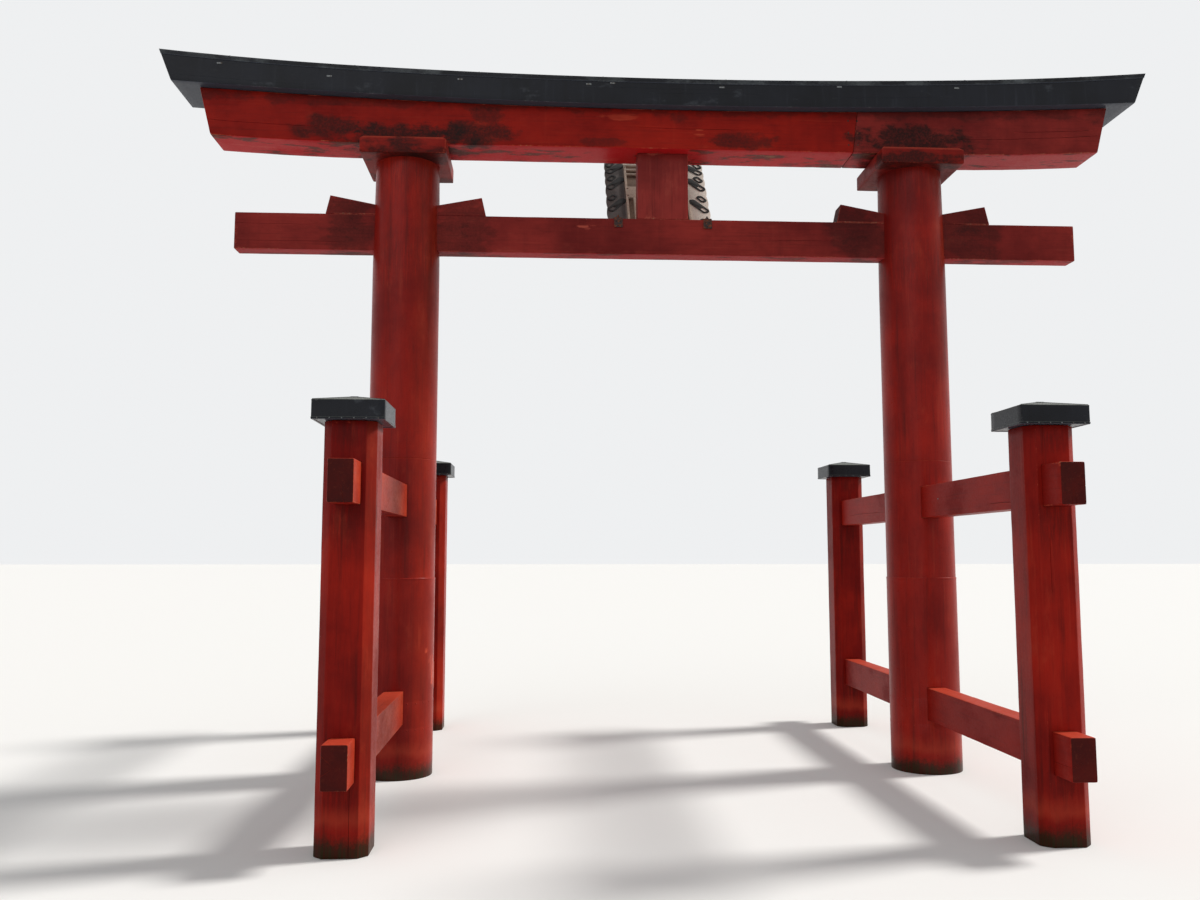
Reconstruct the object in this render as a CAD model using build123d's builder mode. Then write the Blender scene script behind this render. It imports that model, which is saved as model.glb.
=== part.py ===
from build123d import *
from math import atan2, cos, degrees, radians, sin, sqrt
import os

# Torii gate that stands in shallow water: two round pillars under a curved double lintel,
# each pillar braced by a front and a rear post that two through ties hold.
# Millimetres. X runs along the gate, -Y is the shore side, +Z is up.
# The origin lies midway between the pillars, at the lowest point where they meet the water.

os.makedirs("parts", exist_ok=True)

# Fits: every mortise, collar and seat between separate pieces leaves this much room
fit_gap = 0.3

# Pillars, round and slightly drawn in at the neck
pillar_spacing = 6070
pillar_diameter = 775
pillar_neck_diameter = 742
pillar_neck_start = 5800
jacket_wall = 7
jacket_height = 2190
jacket_bevel = 4

# Square capital plates between the pillars and the lower lintel
capital_side = 990
capital_thickness = 200
capital_bevel = 35

# Lower lintel, two timbers spliced end to end; its top follows one wide arc
lintel_underside = 7236
lower_lintel_height = 484
lower_lintel_depth = 514
lower_lintel_foot_length = 10570
lower_lintel_top_length = 10850
lower_lintel_flat_length = 6700
lower_lintel_lift = 63
splice_offset = 2277

# Upper lintel, whose top rises gently and then faster towards the tips
seat_radius = 100000
upper_lintel_height = 298
upper_lintel_depth = 750
upper_lintel_foot_length = 11430
upper_lintel_top_length = 11700
crown_radius = 95000
crown_length = 7200
tip_radius = 43600

# Sheet cover on the upper lintel: a low gable with edges turned down over both faces
cover_edge = 30
cover_lip = 30
cover_overhang = 8
cover_ridge_rise = 70

# Tie beam through both pillars, with a wedge on each side of each pillar
tie_beam_underside = 5990
tie_beam_height = 437
tie_beam_depth = 229
tie_beam_length = 10025
wedge_root_height = 48
wedge_tip_height = 219
wedge_tip_reach = 885
wedge_foot_reach = 935
wedge_root_gap = 60

# Strut between the tie beam and the lower lintel
strut_width = 610
strut_depth = 225

# Posts, square with wide chamfers, and their capped tops
post_offset = 3050
post_side = 450
post_chamfer = 78
post_height = 3580
cap_side = 620
cap_thickness = 171
cap_rise = 63
cap_top_flat = 24

# Side ties, each one timber through the front post, the pillar and the rear post
side_tie_width = 215
side_tie_height = 362
upper_side_tie_underside = 2869
upper_side_tie_length = 7210
lower_side_tie_underside = 596
lower_side_tie_length = 7150

# Plaque on the lake side: it stands on two hooks and its head leans away from the gate
plaque_lean = 37
plaque_foot_height = 6385
plaque_length = 1480
plaque_panel_width = 790
plaque_panel_thickness = 25
plaque_wing_width = 232
plaque_frame_thickness = 36
plaque_sill_height = 190
plaque_head_height = 230
plaque_head_crown = 60
scallop_depth = 15
scallop_tips = (110, 341, 589, 824, 1038, 1200, 1372)
rail_thickness = 25
middle_rail_height = 243
middle_rail_start = 622
thin_rail_height = 34
thin_rail_start = 1138
thin_rail_pitch = 98
thin_rail_count = 3
stile_width = 30
stile_spacing = 576
stile_start = 150
side_batten_width = 30

# Iron hooks over the tie beam and iron stays from the lower lintel, which hold the plaque
hook_spacing = 1066
hook_width = 100
hook_thickness = 12
hook_front_leg = 110
hook_bend = 0.5
hook_lip = 45
stay_spacing = 520
stay_diameter = 22
stay_height = 7555

# Heights and places that follow from the sizes above
pillar_line = pillar_spacing / 2
pillar_radius = pillar_diameter / 2
pillar_neck_radius = pillar_neck_diameter / 2
pillar_height = lintel_underside - capital_thickness
lintel_seat = lintel_underside + lower_lintel_height
upper_lintel_crown = lintel_seat + upper_lintel_height
tie_beam_top = tie_beam_underside + tie_beam_height
upper_side_tie_middle = upper_side_tie_underside + side_tie_height / 2
lower_side_tie_middle = lower_side_tie_underside + side_tie_height / 2
wedge_slope = (wedge_tip_height - wedge_root_height) / wedge_tip_reach
plaque_back = tie_beam_depth / 2 + hook_thickness + 2 * fit_gap
lean = radians(plaque_lean)
sides = {"left": -1, "right": 1}
rows = {"front": -1, "rear": 1}

# The plaque's own plane: its Y runs up the lean, its Z points out towards the lake
plaque_plane = Plane(
    origin=(0, plaque_back, plaque_foot_height), x_dir=(-1, 0, 0), z_dir=(0, cos(lean), -sin(lean))
)


def arc_rise(distance, radius):
    """Height that an arc of this radius gains at a distance from its lowest point."""
    return radius - sqrt(radius**2 - distance**2)


def save(piece, name):
    """Label one finished piece and write it under its own name."""
    piece.part.label = name
    export_step(piece.part, f"parts/{name}.step")


def upright_plane(x=0, y=0):
    """Vertical plane that faces the shore: its X is the gate's X and its Y is the gate's Z."""
    return Plane(origin=(x, y, 0), x_dir=(1, 0, 0), z_dir=(0, -1, 0))


def side_tie_mortises(reach):
    """Sink both side tie mortises through the pending part, from the plane's middle both ways."""
    for middle in (lower_side_tie_middle, upper_side_tie_middle):
        with Locations((0, middle)):
            Rectangle(side_tie_width + 2 * fit_gap, side_tie_height + 2 * fit_gap)


def make_pillar(name, x):
    """Round pillar with a drawn-in neck and mortises for the tie beam and both side ties."""
    with BuildPart() as pillar:
        with BuildSketch(upright_plane(x)):
            with BuildLine():
                foot = Line((0, 0), (pillar_radius, 0))
                shaft = Line(foot @ 1, (pillar_radius, pillar_neck_start))
                neck = Line(shaft @ 1, (pillar_neck_radius, pillar_height))
                Polyline(neck @ 1, (0, pillar_height), foot @ 0)
            make_face()
        revolve(axis=Axis((x, 0, 0), (0, 0, 1)))
        with BuildSketch(upright_plane(x)):
            edge = pillar_diameter
            roof = tie_beam_top + wedge_root_height + fit_gap
            floor = tie_beam_underside - fit_gap
            eave = roof + wedge_slope * edge
            with BuildLine():
                Polyline((-edge, floor), (edge, floor), (edge, eave), (0, roof), (-edge, eave), close=True)
            make_face()
        extrude(amount=tie_beam_depth / 2 + fit_gap, both=True, mode=Mode.SUBTRACT)
        with BuildSketch(upright_plane(x)):
            side_tie_mortises(pillar_radius)
        extrude(amount=pillar_diameter, both=True, mode=Mode.SUBTRACT)
    save(pillar, name)


def make_jacket(name, x):
    """Thin jacket round the pillar's foot, up to the lapped seam."""
    inner = pillar_radius + fit_gap
    with BuildPart() as jacket:
        with BuildSketch(Plane(origin=(x, 0, 0))):
            Circle(inner + jacket_wall)
            Circle(inner, mode=Mode.SUBTRACT)
        extrude(amount=jacket_height)
        rim = jacket.faces().sort_by(Axis.Z)[-1].outer_wire().edges()
        chamfer(rim, length=jacket_bevel)
        with BuildSketch(upright_plane(x)):
            side_tie_mortises(inner)
        extrude(amount=pillar_diameter, both=True, mode=Mode.SUBTRACT)
    save(jacket, name)


def make_capital(name, x):
    """Square plate on the pillar, weathered along its upper edges."""
    with BuildPart() as capital:
        with BuildSketch(Plane(origin=(x, 0, pillar_height))):
            Rectangle(capital_side, capital_side)
        extrude(amount=capital_thickness)
        chamfer(capital.faces().sort_by(Axis.Z)[-1].edges(), length=capital_bevel)
    save(capital, name)


def make_lower_lintel():
    """Lower lintel, level over the passage and lifted towards its ends, in two spliced timbers."""
    flat = lower_lintel_flat_length / 2
    foot = lower_lintel_foot_length / 2
    top = lower_lintel_top_length / 2
    foot_height = lintel_underside + lower_lintel_lift
    top_height = lintel_seat + arc_rise(top, seat_radius)
    pieces = {"left": (Keep.BOTTOM, -fit_gap / 2), "right": (Keep.TOP, fit_gap / 2)}
    for side, (kept, shift) in pieces.items():
        with BuildPart() as lintel:
            with BuildSketch(upright_plane()):
                with BuildLine():
                    level = Line((-flat, lintel_underside), (flat, lintel_underside))
                    right = TangentArc(level @ 1, (foot, foot_height), tangent=(1, 0))
                    left = TangentArc(level @ 0, (-foot, foot_height), tangent=(-1, 0))
                    seat = ThreePointArc((-top, top_height), (0, lintel_seat), (top, top_height))
                    Line(right @ 1, seat @ 1)
                    Line(left @ 1, seat @ 0)
                make_face()
            extrude(amount=lower_lintel_depth / 2, both=True)
            split(bisect_by=Plane.YZ.offset(splice_offset + shift), keep=kept)
        save(lintel, f"lower_lintel_{side}")


def make_upper_lintel():
    """Upper lintel: it seats on the lower one's arc, and both its ends slope in towards the foot."""
    foot = upper_lintel_foot_length / 2
    foot_height = lintel_seat + fit_gap + arc_rise(foot, seat_radius)
    with BuildPart() as lintel:
        with BuildSketch(upright_plane()):
            with BuildLine():
                seat = ThreePointArc(
                    (-foot, foot_height), (0, lintel_seat + fit_gap), (foot, foot_height)
                )
                crown, left, right = crown_line(upper_lintel_crown, upper_lintel_top_length / 2)
                Line(seat @ 1, right @ 1)
                Line(seat @ 0, left @ 1)
            make_face()
        extrude(amount=upper_lintel_depth / 2, both=True)
    save(lintel, "upper_lintel")


def crown_line(height, reach):
    """Top line of the upper lintel: a wide middle arc and, tangent to it, a tighter one each side."""
    middle = crown_length / 2
    middle_height = height + arc_rise(middle, crown_radius)
    slope = middle / sqrt(crown_radius**2 - middle**2)
    turn = middle / crown_radius
    run = reach - middle
    centre_x = middle - tip_radius * turn
    centre_height = middle_height + tip_radius * sqrt(1 - turn**2)
    end_height = centre_height - sqrt(tip_radius**2 - (reach - centre_x) ** 2)
    crown = ThreePointArc((-middle, middle_height), (0, height), (middle, middle_height))
    right = TangentArc((middle, middle_height), (reach, end_height), tangent=(1, slope))
    left = TangentArc((-middle, middle_height), (-reach, end_height), tangent=(-1, slope))
    return crown, left, right


def make_lintel_cover():
    """Gabled sheet cover that follows the lintel's top line and laps over both its faces."""
    inner = upper_lintel_depth / 2 + fit_gap
    outer = inner + cover_overhang
    seat = upper_lintel_crown + fit_gap
    reach = upper_lintel_top_length / 2
    tip_lift = upper_lintel_tip_height() - upper_lintel_crown
    foot = upper_lintel_foot_length / 2
    foot_height = lintel_seat + arc_rise(foot, seat_radius)
    lean_in = (reach - foot) / (upper_lintel_tip_height() - foot_height)
    with BuildPart() as cover:
        with BuildLine(upright_plane()) as path:
            crown_line(seat, reach + 3 * cover_ridge_rise)
        with BuildSketch(Plane.YZ) as section:
            with BuildLine():
                Polyline(
                    (-inner, seat - cover_lip),
                    (-inner, seat),
                    (inner, seat),
                    (inner, seat - cover_lip),
                    (outer, seat - cover_lip),
                    (outer, seat + cover_edge),
                    (0, seat + cover_edge + cover_ridge_rise),
                    (-outer, seat + cover_edge),
                    (-outer, seat - cover_lip),
                    close=True,
                )
            make_face()
        sweep(path=path.line)
        for way in sides.values():
            cut = Plane(
                origin=(way * reach, 0, seat + tip_lift), x_dir=(0, 1, 0), z_dir=(way, 0, -lean_in)
            )
            split(bisect_by=cut, keep=Keep.BOTTOM)
    save(cover, "lintel_cover")


def upper_lintel_tip_height():
    """Height of the upper lintel's top at its tips."""
    middle = crown_length / 2
    reach = upper_lintel_top_length / 2
    turn = middle / crown_radius
    middle_height = upper_lintel_crown + arc_rise(middle, crown_radius)
    centre_height = middle_height + tip_radius * sqrt(1 - turn**2)
    return centre_height - sqrt(tip_radius**2 - (reach - middle + tip_radius * turn) ** 2)


def make_tie_beam():
    """Level tie beam that runs through both pillars and out beyond them."""
    with BuildPart() as beam:
        with BuildSketch(Plane.XY.offset(tie_beam_underside)):
            Rectangle(tie_beam_length, tie_beam_depth)
        extrude(amount=tie_beam_height)
    save(beam, "tie_beam")


def make_wedge(name, x, way):
    """Wedge driven into the pillar above the tie beam: its thin end lies inside the pillar."""
    root = wedge_root_gap / 2
    root_top = tie_beam_top + wedge_root_height + wedge_slope * root
    tip_top = tie_beam_top + wedge_tip_height
    with BuildPart() as wedge:
        with BuildSketch(upright_plane(x)):
            with BuildLine():
                Polyline(
                    (way * root, tie_beam_top),
                    (way * wedge_foot_reach, tie_beam_top),
                    (way * wedge_tip_reach, tip_top),
                    (way * root, root_top),
                    close=True,
                )
            make_face()
        extrude(amount=tie_beam_depth / 2, both=True)
    save(wedge, name)


def make_strut():
    """Short wide strut in the middle, between the tie beam and the lower lintel."""
    with BuildPart() as strut:
        with BuildSketch(Plane.XY.offset(tie_beam_top)):
            Rectangle(strut_width, strut_depth)
        extrude(amount=lintel_underside - tie_beam_top)
    save(strut, "centre_strut")


def make_post(name, x, y):
    """Square post with wide chamfers and a mortise for each side tie."""
    with BuildPart() as post:
        with BuildSketch(Plane(origin=(x, y, 0))) as section:
            Rectangle(post_side, post_side)
            chamfer(section.vertices(), length=post_chamfer)
        extrude(amount=post_height)
        with BuildSketch(upright_plane(x, y)):
            side_tie_mortises(post_side)
        extrude(amount=post_side, both=True, mode=Mode.SUBTRACT)
    save(post, name)


def make_post_cap(name, x, y):
    """Square cap that overhangs its post, with a low pyramid on top to shed rain."""
    with BuildPart() as cap:
        with BuildSketch(Plane(origin=(x, y, post_height))):
            Rectangle(cap_side, cap_side)
        extrude(amount=cap_thickness)
        with BuildSketch(Plane(origin=(x, y, post_height + cap_thickness))):
            Rectangle(cap_side, cap_side)
        extrude(amount=cap_rise, taper=degrees(atan2((cap_side - cap_top_flat) / 2, cap_rise)))
    save(cap, name)


def make_side_tie(name, x, underside, length):
    """Square-ended tie through the front post, the pillar and the rear post."""
    with BuildPart() as tie:
        with BuildSketch(Plane(origin=(x, 0, underside))):
            Rectangle(side_tie_width, length)
        extrude(amount=side_tie_height)
    save(tie, name)


def make_plaque_panel():
    """Plain panel of the plaque, held between its four frame boards."""
    bottom = plaque_sill_height + fit_gap
    top = plaque_length - plaque_head_height - fit_gap
    with BuildPart() as panel:
        with BuildSketch(plaque_plane):
            with Locations((0, (bottom + top) / 2)):
                Rectangle(plaque_panel_width, top - bottom)
        extrude(amount=plaque_panel_thickness)
    save(panel, "plaque_panel")


def make_plaque_wing(name, way):
    """Frame board at one side of the plaque, with a scalloped outer edge."""
    inner = -way * (plaque_panel_width / 2 + fit_gap)
    outer = inner - way * plaque_wing_width
    valleys = [(low + high) / 2 for low, high in zip(scallop_tips, scallop_tips[1:])]
    starts = [0] + valleys
    ends = valleys + [plaque_length]
    with BuildPart() as wing:
        with BuildSketch(plaque_plane):
            with BuildLine():
                for start, tip, end in zip(starts, scallop_tips, ends):
                    crest = (outer - way * scallop_depth, tip)
                    ThreePointArc((outer, start), crest, (outer, end))
                Polyline((outer, plaque_length), (inner, plaque_length), (inner, 0), (outer, 0))
            make_face()
        extrude(amount=plaque_frame_thickness)
    save(wing, name)


def make_plaque_sill():
    """Frame board under the panel."""
    with BuildPart() as sill:
        with BuildSketch(plaque_plane):
            with Locations((0, plaque_sill_height / 2)):
                Rectangle(plaque_panel_width, plaque_sill_height)
        extrude(amount=plaque_frame_thickness)
    save(sill, "plaque_sill")


def make_plaque_head():
    """Frame board over the panel, with an arched top edge."""
    half = plaque_panel_width / 2
    bottom = plaque_length - plaque_head_height
    with BuildPart() as head:
        with BuildSketch(plaque_plane):
            with BuildLine():
                brow = ThreePointArc(
                    (-half, plaque_length), (0, plaque_length + plaque_head_crown), (half, plaque_length)
                )
                Polyline(brow @ 1, (half, bottom), (-half, bottom), brow @ 0)
            make_face()
        extrude(amount=plaque_frame_thickness)
    save(head, "plaque_head")


def make_plaque_rails():
    """Rails, stiles and side battens on the panel's back: a wide rail, thin rails above it."""
    thin = [thin_rail_start + number * thin_rail_pitch for number in range(thin_rail_count)]
    batten_length = thin[-1] - stile_start
    batten_place = (plaque_panel_width - side_batten_width) / 2
    with BuildPart() as rails:
        with BuildSketch(plaque_plane.offset(-fit_gap)):
            with Locations((0, middle_rail_start + middle_rail_height / 2)):
                Rectangle(plaque_panel_width, middle_rail_height)
            for start in thin:
                with Locations((0, start)):
                    Rectangle(plaque_panel_width, thin_rail_height)
            stile_length = middle_rail_start - stile_start
            for way in sides.values():
                with Locations((way * stile_spacing / 2, stile_start + stile_length / 2)):
                    Rectangle(stile_width, stile_length)
                with Locations((way * batten_place, stile_start + batten_length / 2)):
                    Rectangle(side_batten_width, batten_length)
        extrude(amount=-rail_thickness)
    save(rails, "plaque_rails")


def make_plaque_hook(name, x):
    """Flat iron hook: over the tie beam, down its far face and out under the plaque's foot."""
    middle = hook_thickness / 2 + fit_gap
    front = -tie_beam_depth / 2 - middle
    back = tie_beam_depth / 2 + middle
    top = tie_beam_top + middle
    foot_drop = middle * (1 - sin(lean)) / cos(lean)
    foot = (back, plaque_foot_height - foot_drop)
    reach = plaque_frame_thickness + 2 * hook_thickness
    toe = (foot[0] + reach * cos(lean), foot[1] - reach * sin(lean))
    lip = (toe[0] + hook_lip * sin(lean), toe[1] + hook_lip * cos(lean))
    hook_plane = Plane(origin=(x, 0, 0), x_dir=(0, 1, 0), z_dir=(1, 0, 0))
    with BuildPart() as hook:
        with BuildSketch(hook_plane):
            with BuildLine():
                FilletPolyline(
                    (front, tie_beam_top - hook_front_leg),
                    (front, top),
                    (back, top),
                    foot,
                    toe,
                    lip,
                    radius=hook_thickness / 2 + hook_bend,
                )
            trace(line_width=hook_thickness)
        extrude(amount=hook_width / 2, both=True)
    save(hook, name)


def make_plaque_stay(name, x):
    """Round iron stay from the lower lintel's far face to the back of the plaque's head."""
    start = lower_lintel_depth / 2 + fit_gap
    length = plaque_length
    stay_plane = Plane(origin=(x, start, stay_height), x_dir=(1, 0, 0), z_dir=(0, 1, 0))
    with BuildPart() as stay:
        with BuildSketch(stay_plane):
            Circle(stay_diameter / 2)
        extrude(amount=length)
        split(bisect_by=plaque_plane.offset(-fit_gap), keep=Keep.BOTTOM)
    save(stay, name)


def build_gate():
    """Make every piece of the gate, from the feet up."""
    for side, sign in sides.items():
        x = sign * pillar_line
        make_pillar(f"pillar_{side}", x)
        make_jacket(f"pillar_jacket_{side}", x)
        make_capital(f"capital_{side}", x)
        make_wedge(f"wedge_{side}_outer", x, sign)
        make_wedge(f"wedge_{side}_inner", x, -sign)
        make_side_tie(f"side_tie_upper_{side}", x, upper_side_tie_underside, upper_side_tie_length)
        make_side_tie(f"side_tie_lower_{side}", x, lower_side_tie_underside, lower_side_tie_length)
        for row, way in rows.items():
            make_post(f"post_{row}_{side}", x, way * post_offset)
            make_post_cap(f"post_cap_{row}_{side}", x, way * post_offset)
    make_tie_beam()
    make_strut()
    make_lower_lintel()
    make_upper_lintel()
    make_lintel_cover()
    make_plaque_panel()
    make_plaque_sill()
    make_plaque_head()
    make_plaque_rails()
    for side, sign in sides.items():
        make_plaque_wing(f"plaque_wing_{side}", sign)
        make_plaque_hook(f"plaque_hook_{side}", sign * hook_spacing / 2)
        make_plaque_stay(f"plaque_stay_{side}", sign * stay_spacing / 2)


build_gate()
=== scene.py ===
import math
import random
from collections import namedtuple
from contextlib import contextmanager
from functools import reduce

import bmesh
import bpy
from mathutils import Matrix, Vector, noise


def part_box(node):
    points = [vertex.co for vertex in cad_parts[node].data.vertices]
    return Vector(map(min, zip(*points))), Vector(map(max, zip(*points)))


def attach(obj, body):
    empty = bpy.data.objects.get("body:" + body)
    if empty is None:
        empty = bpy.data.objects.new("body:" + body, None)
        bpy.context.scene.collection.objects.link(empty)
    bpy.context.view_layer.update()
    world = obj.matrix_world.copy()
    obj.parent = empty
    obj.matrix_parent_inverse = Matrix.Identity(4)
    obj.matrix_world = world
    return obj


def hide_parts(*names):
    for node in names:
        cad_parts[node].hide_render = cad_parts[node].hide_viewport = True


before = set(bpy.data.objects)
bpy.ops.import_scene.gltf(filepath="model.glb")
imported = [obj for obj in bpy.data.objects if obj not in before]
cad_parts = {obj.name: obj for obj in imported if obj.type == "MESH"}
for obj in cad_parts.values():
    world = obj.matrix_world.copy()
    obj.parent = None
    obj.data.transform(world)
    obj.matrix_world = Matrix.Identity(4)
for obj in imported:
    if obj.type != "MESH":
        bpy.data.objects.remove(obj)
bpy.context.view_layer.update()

# Looks of the torii gate, built round the CAD frame. Metres, +Z up, the camera on the -Y side.
chance = random.Random(57)
scene = bpy.context.scene

# The camera of the photograph, with its angles in degrees
CAMERA_PLACE = (-1.3826, -12.0124, 2.4578)
CAMERA_PITCH = 5.7513
CAMERA_YAW = 3.0343
CAMERA_LENS = 30.965

# Sizes that the pieces share with the CAD part
PILLAR_X = 3.035
POST_Y = 3.05
SEAM_HEIGHT = 3.532
BEAM_FACE = 0.12
WEDGE_FOOT, WEDGE_HEIGHT, WEDGE_REACH = 0.048, 0.219, 0.885
LINTEL_FACE = 0.257
LINTEL_UNDERSIDE = 7.236
LINTEL_SEAT = 7.72
SEAT_RADIUS = 100.0
CROWN_HEIGHT = 8.018
CROWN_RADIUS = 95.0
CROWN_HALF = 3.6
TIP_RADIUS = 43.6
UPPER_FOOT_REACH = 5.715
UPPER_TOP_REACH = 5.85
LOWER_FOOT_REACH = 5.285
LOWER_TOP_REACH = 5.425
LOWER_FLAT_REACH = 3.35
LOWER_FOOT_LIFT = 0.063
UPPER_DEPTH = 0.75
SPLICE = 2.277
PLAQUE_LEAN = math.radians(37)
PLAQUE_FOOT = (0.0, 0.1271, 6.385)
PLAQUE_LENGTH = 1.48
PLAQUE_THICK = 0.036
PANEL_HALF = 0.395
MORTISE_GAP = 0.0012
CUT_REACH = 0.6

SIDES = {"left": -1, "right": 1}
ROWS = ("front", "rear")


def colour(red, green, blue):
    """Linear colour from the 0 to 255 values seen on a screen."""
    levels = [level / 255 for level in (red, green, blue)]
    return (*[level / 12.92 if level <= 0.04045 else ((level + 0.055) / 1.055) ** 2.4
              for level in levels], 1.0)


VERMILION = colour(164, 33, 21)
VERMILION_DEEP = colour(104, 16, 15)
VERMILION_PALE = colour(196, 76, 52)
# The soot colour also paints shade on the pillars, and the mildew colour shade under the upper
# lintel.
SOOT_AND_SHADE = colour(36, 17, 16)
MILDEW_AND_SHADE = colour(34, 25, 23)
BARE_WOOD = colour(160, 126, 98)
BACKDROP = (0.86, 0.87, 0.88, 1.0)


class Nodes:
    """Adds nodes to one node tree."""

    def __init__(self, tree):
        self.tree = tree

    def feed(self, node, inputs):
        """Gives each named or numbered socket a value or another node's output."""
        for socket, value in inputs.items():
            if isinstance(value, bpy.types.NodeSocket):
                self.tree.links.new(value, node.inputs[socket])
            else:
                node.inputs[socket].default_value = value

    def add(self, kind, inputs=None):
        node = self.tree.nodes.new(f"ShaderNode{kind}")
        self.feed(node, inputs or {})
        return node

    def math(self, operation, *values):
        node = self.add("Math")
        node.operation = operation
        self.feed(node, dict(enumerate(values)))
        return node.outputs[0]

    def fold(self, operation, values):
        return reduce(lambda total, value: self.math(operation, total, value), values)

    def times(self, *values):
        return self.fold("MULTIPLY", values)

    def plus(self, *values):
        return self.fold("ADD", values)

    def ray(self, *kinds):
        """1 for a ray of any of these kinds, 0 for others."""
        path = self.add("LightPath")
        return self.fold("MAXIMUM", [path.outputs[kind] for kind in kinds])


class Shader(Nodes):
    """Builds one procedural material, coat by coat, in object coordinates, which are metres."""

    def __init__(self, name, ior, base, shifted=True):
        self.material = bpy.data.materials.new(name)
        self.material.use_nodes = True
        super().__init__(self.material.node_tree)
        self.shader = self.tree.nodes["Principled BSDF"]
        self.feed(self.shader, {"IOR": ior})
        self.base = base
        self.shift = [chance.uniform(0, 9) for _ in range(3)] if shifted else (0, 0, 0)
        self.place = self.add("TexCoord").outputs["Object"]
        self.axes = self.add("SeparateXYZ", {0: self.place}).outputs
        normal = self.add("NewGeometry").outputs["Normal"]
        self.facing = self.add("SeparateXYZ", {0: normal}).outputs

    def attribute(self, name):
        """A value that the mesh stores at its points, 0 where it stores none."""
        node = self.add("Attribute")
        node.attribute_name = name
        return node.outputs["Fac"]

    def noise(self, scale, detail, roughness=0.55, axis=0, drawn=1.0):
        """Noise whose pattern is drawn out along one axis, the more the smaller drawn is."""
        stretch = [1.0, 1.0, 1.0]
        stretch[axis] = drawn
        mapping = self.add("Mapping", {
            "Vector": self.place, "Scale": stretch, "Location": self.shift,
        })
        return self.add("TexNoise", {
            "Vector": mapping.outputs[0], "Scale": scale, "Detail": detail,
            "Roughness": roughness,
        }).outputs["Fac"]

    def remap(self, value, low, high, start=0.0, end=1.0):
        """Goes smoothly from start to end while the value goes from low to high."""
        node = self.add("MapRange", {
            "Value": value, "From Min": low, "From Max": high, "To Min": start, "To Max": end,
        })
        node.interpolation_type = "SMOOTHSTEP"
        return node.outputs[0]

    def jitter(self, value, pattern, amount):
        """The value moved up and down by a noise pattern, by that amount in all."""
        return self.plus(value, self.math("MULTIPLY_ADD", pattern, amount, -amount / 2))

    def edge_wear(self, blotch, fine, least, most):
        """How worn the paint is: most at the arrises, and uneven."""
        worn = self.times(self.attribute("arris"), self.remap(blotch, 0.35, 0.6, least, most))
        return self.jitter(worn, fine, 1.3)

    def patch(self, centre, radii, ragged, edge):
        """1 inside an ellipsoid, 0 outside, with a border as ragged as that noise."""
        squares = []
        for axis, middle, radius in zip(self.axes, centre, radii):
            offset = self.math("DIVIDE", self.math("SUBTRACT", axis, middle), radius)
            squares.append(self.times(offset, offset))
        reach = self.jitter(self.plus(*squares), ragged, 6.0)
        return self.remap(reach, 1.0 + edge, 1.0 - edge)

    def coat(self, amount, second):
        """Covers what is there with a second colour, by an amount from 0 to 1."""
        node = self.add("Mix")
        node.data_type = "RGBA"
        self.feed(node, {0: amount, 6: self.base, 7: second})
        self.base = node.outputs[2]

    def tint(self, pattern, low, high, second, most=1.0, *masks):
        """Coats more as a pattern goes from low to high, up to most and within the masks."""
        self.coat(self.times(self.remap(pattern, low, high, 0.0, most), *masks), second)

    def stain(self, places, ragged, edge, grain, second):
        """Coats each (centre, radii, strength) place where its grain lets the colour show."""
        for centre, radii, strength in places:
            mask = self.times(self.patch(centre, radii, ragged, edge), grain, strength)
            self.coat(mask, second)

    def finish(self, roughness, *layers):
        """Connects the coats, the roughness and (height, strength, distance) layers of bumps."""
        below = {}
        for height, strength, distance in layers:
            node = self.add("Bump", {
                "Height": height, "Strength": strength, "Distance": distance, **below,
            })
            below = {"Normal": node.outputs["Normal"]}
        self.feed(self.shader, {"Base Color": self.base, "Roughness": roughness, **below})
        return self.material


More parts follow.
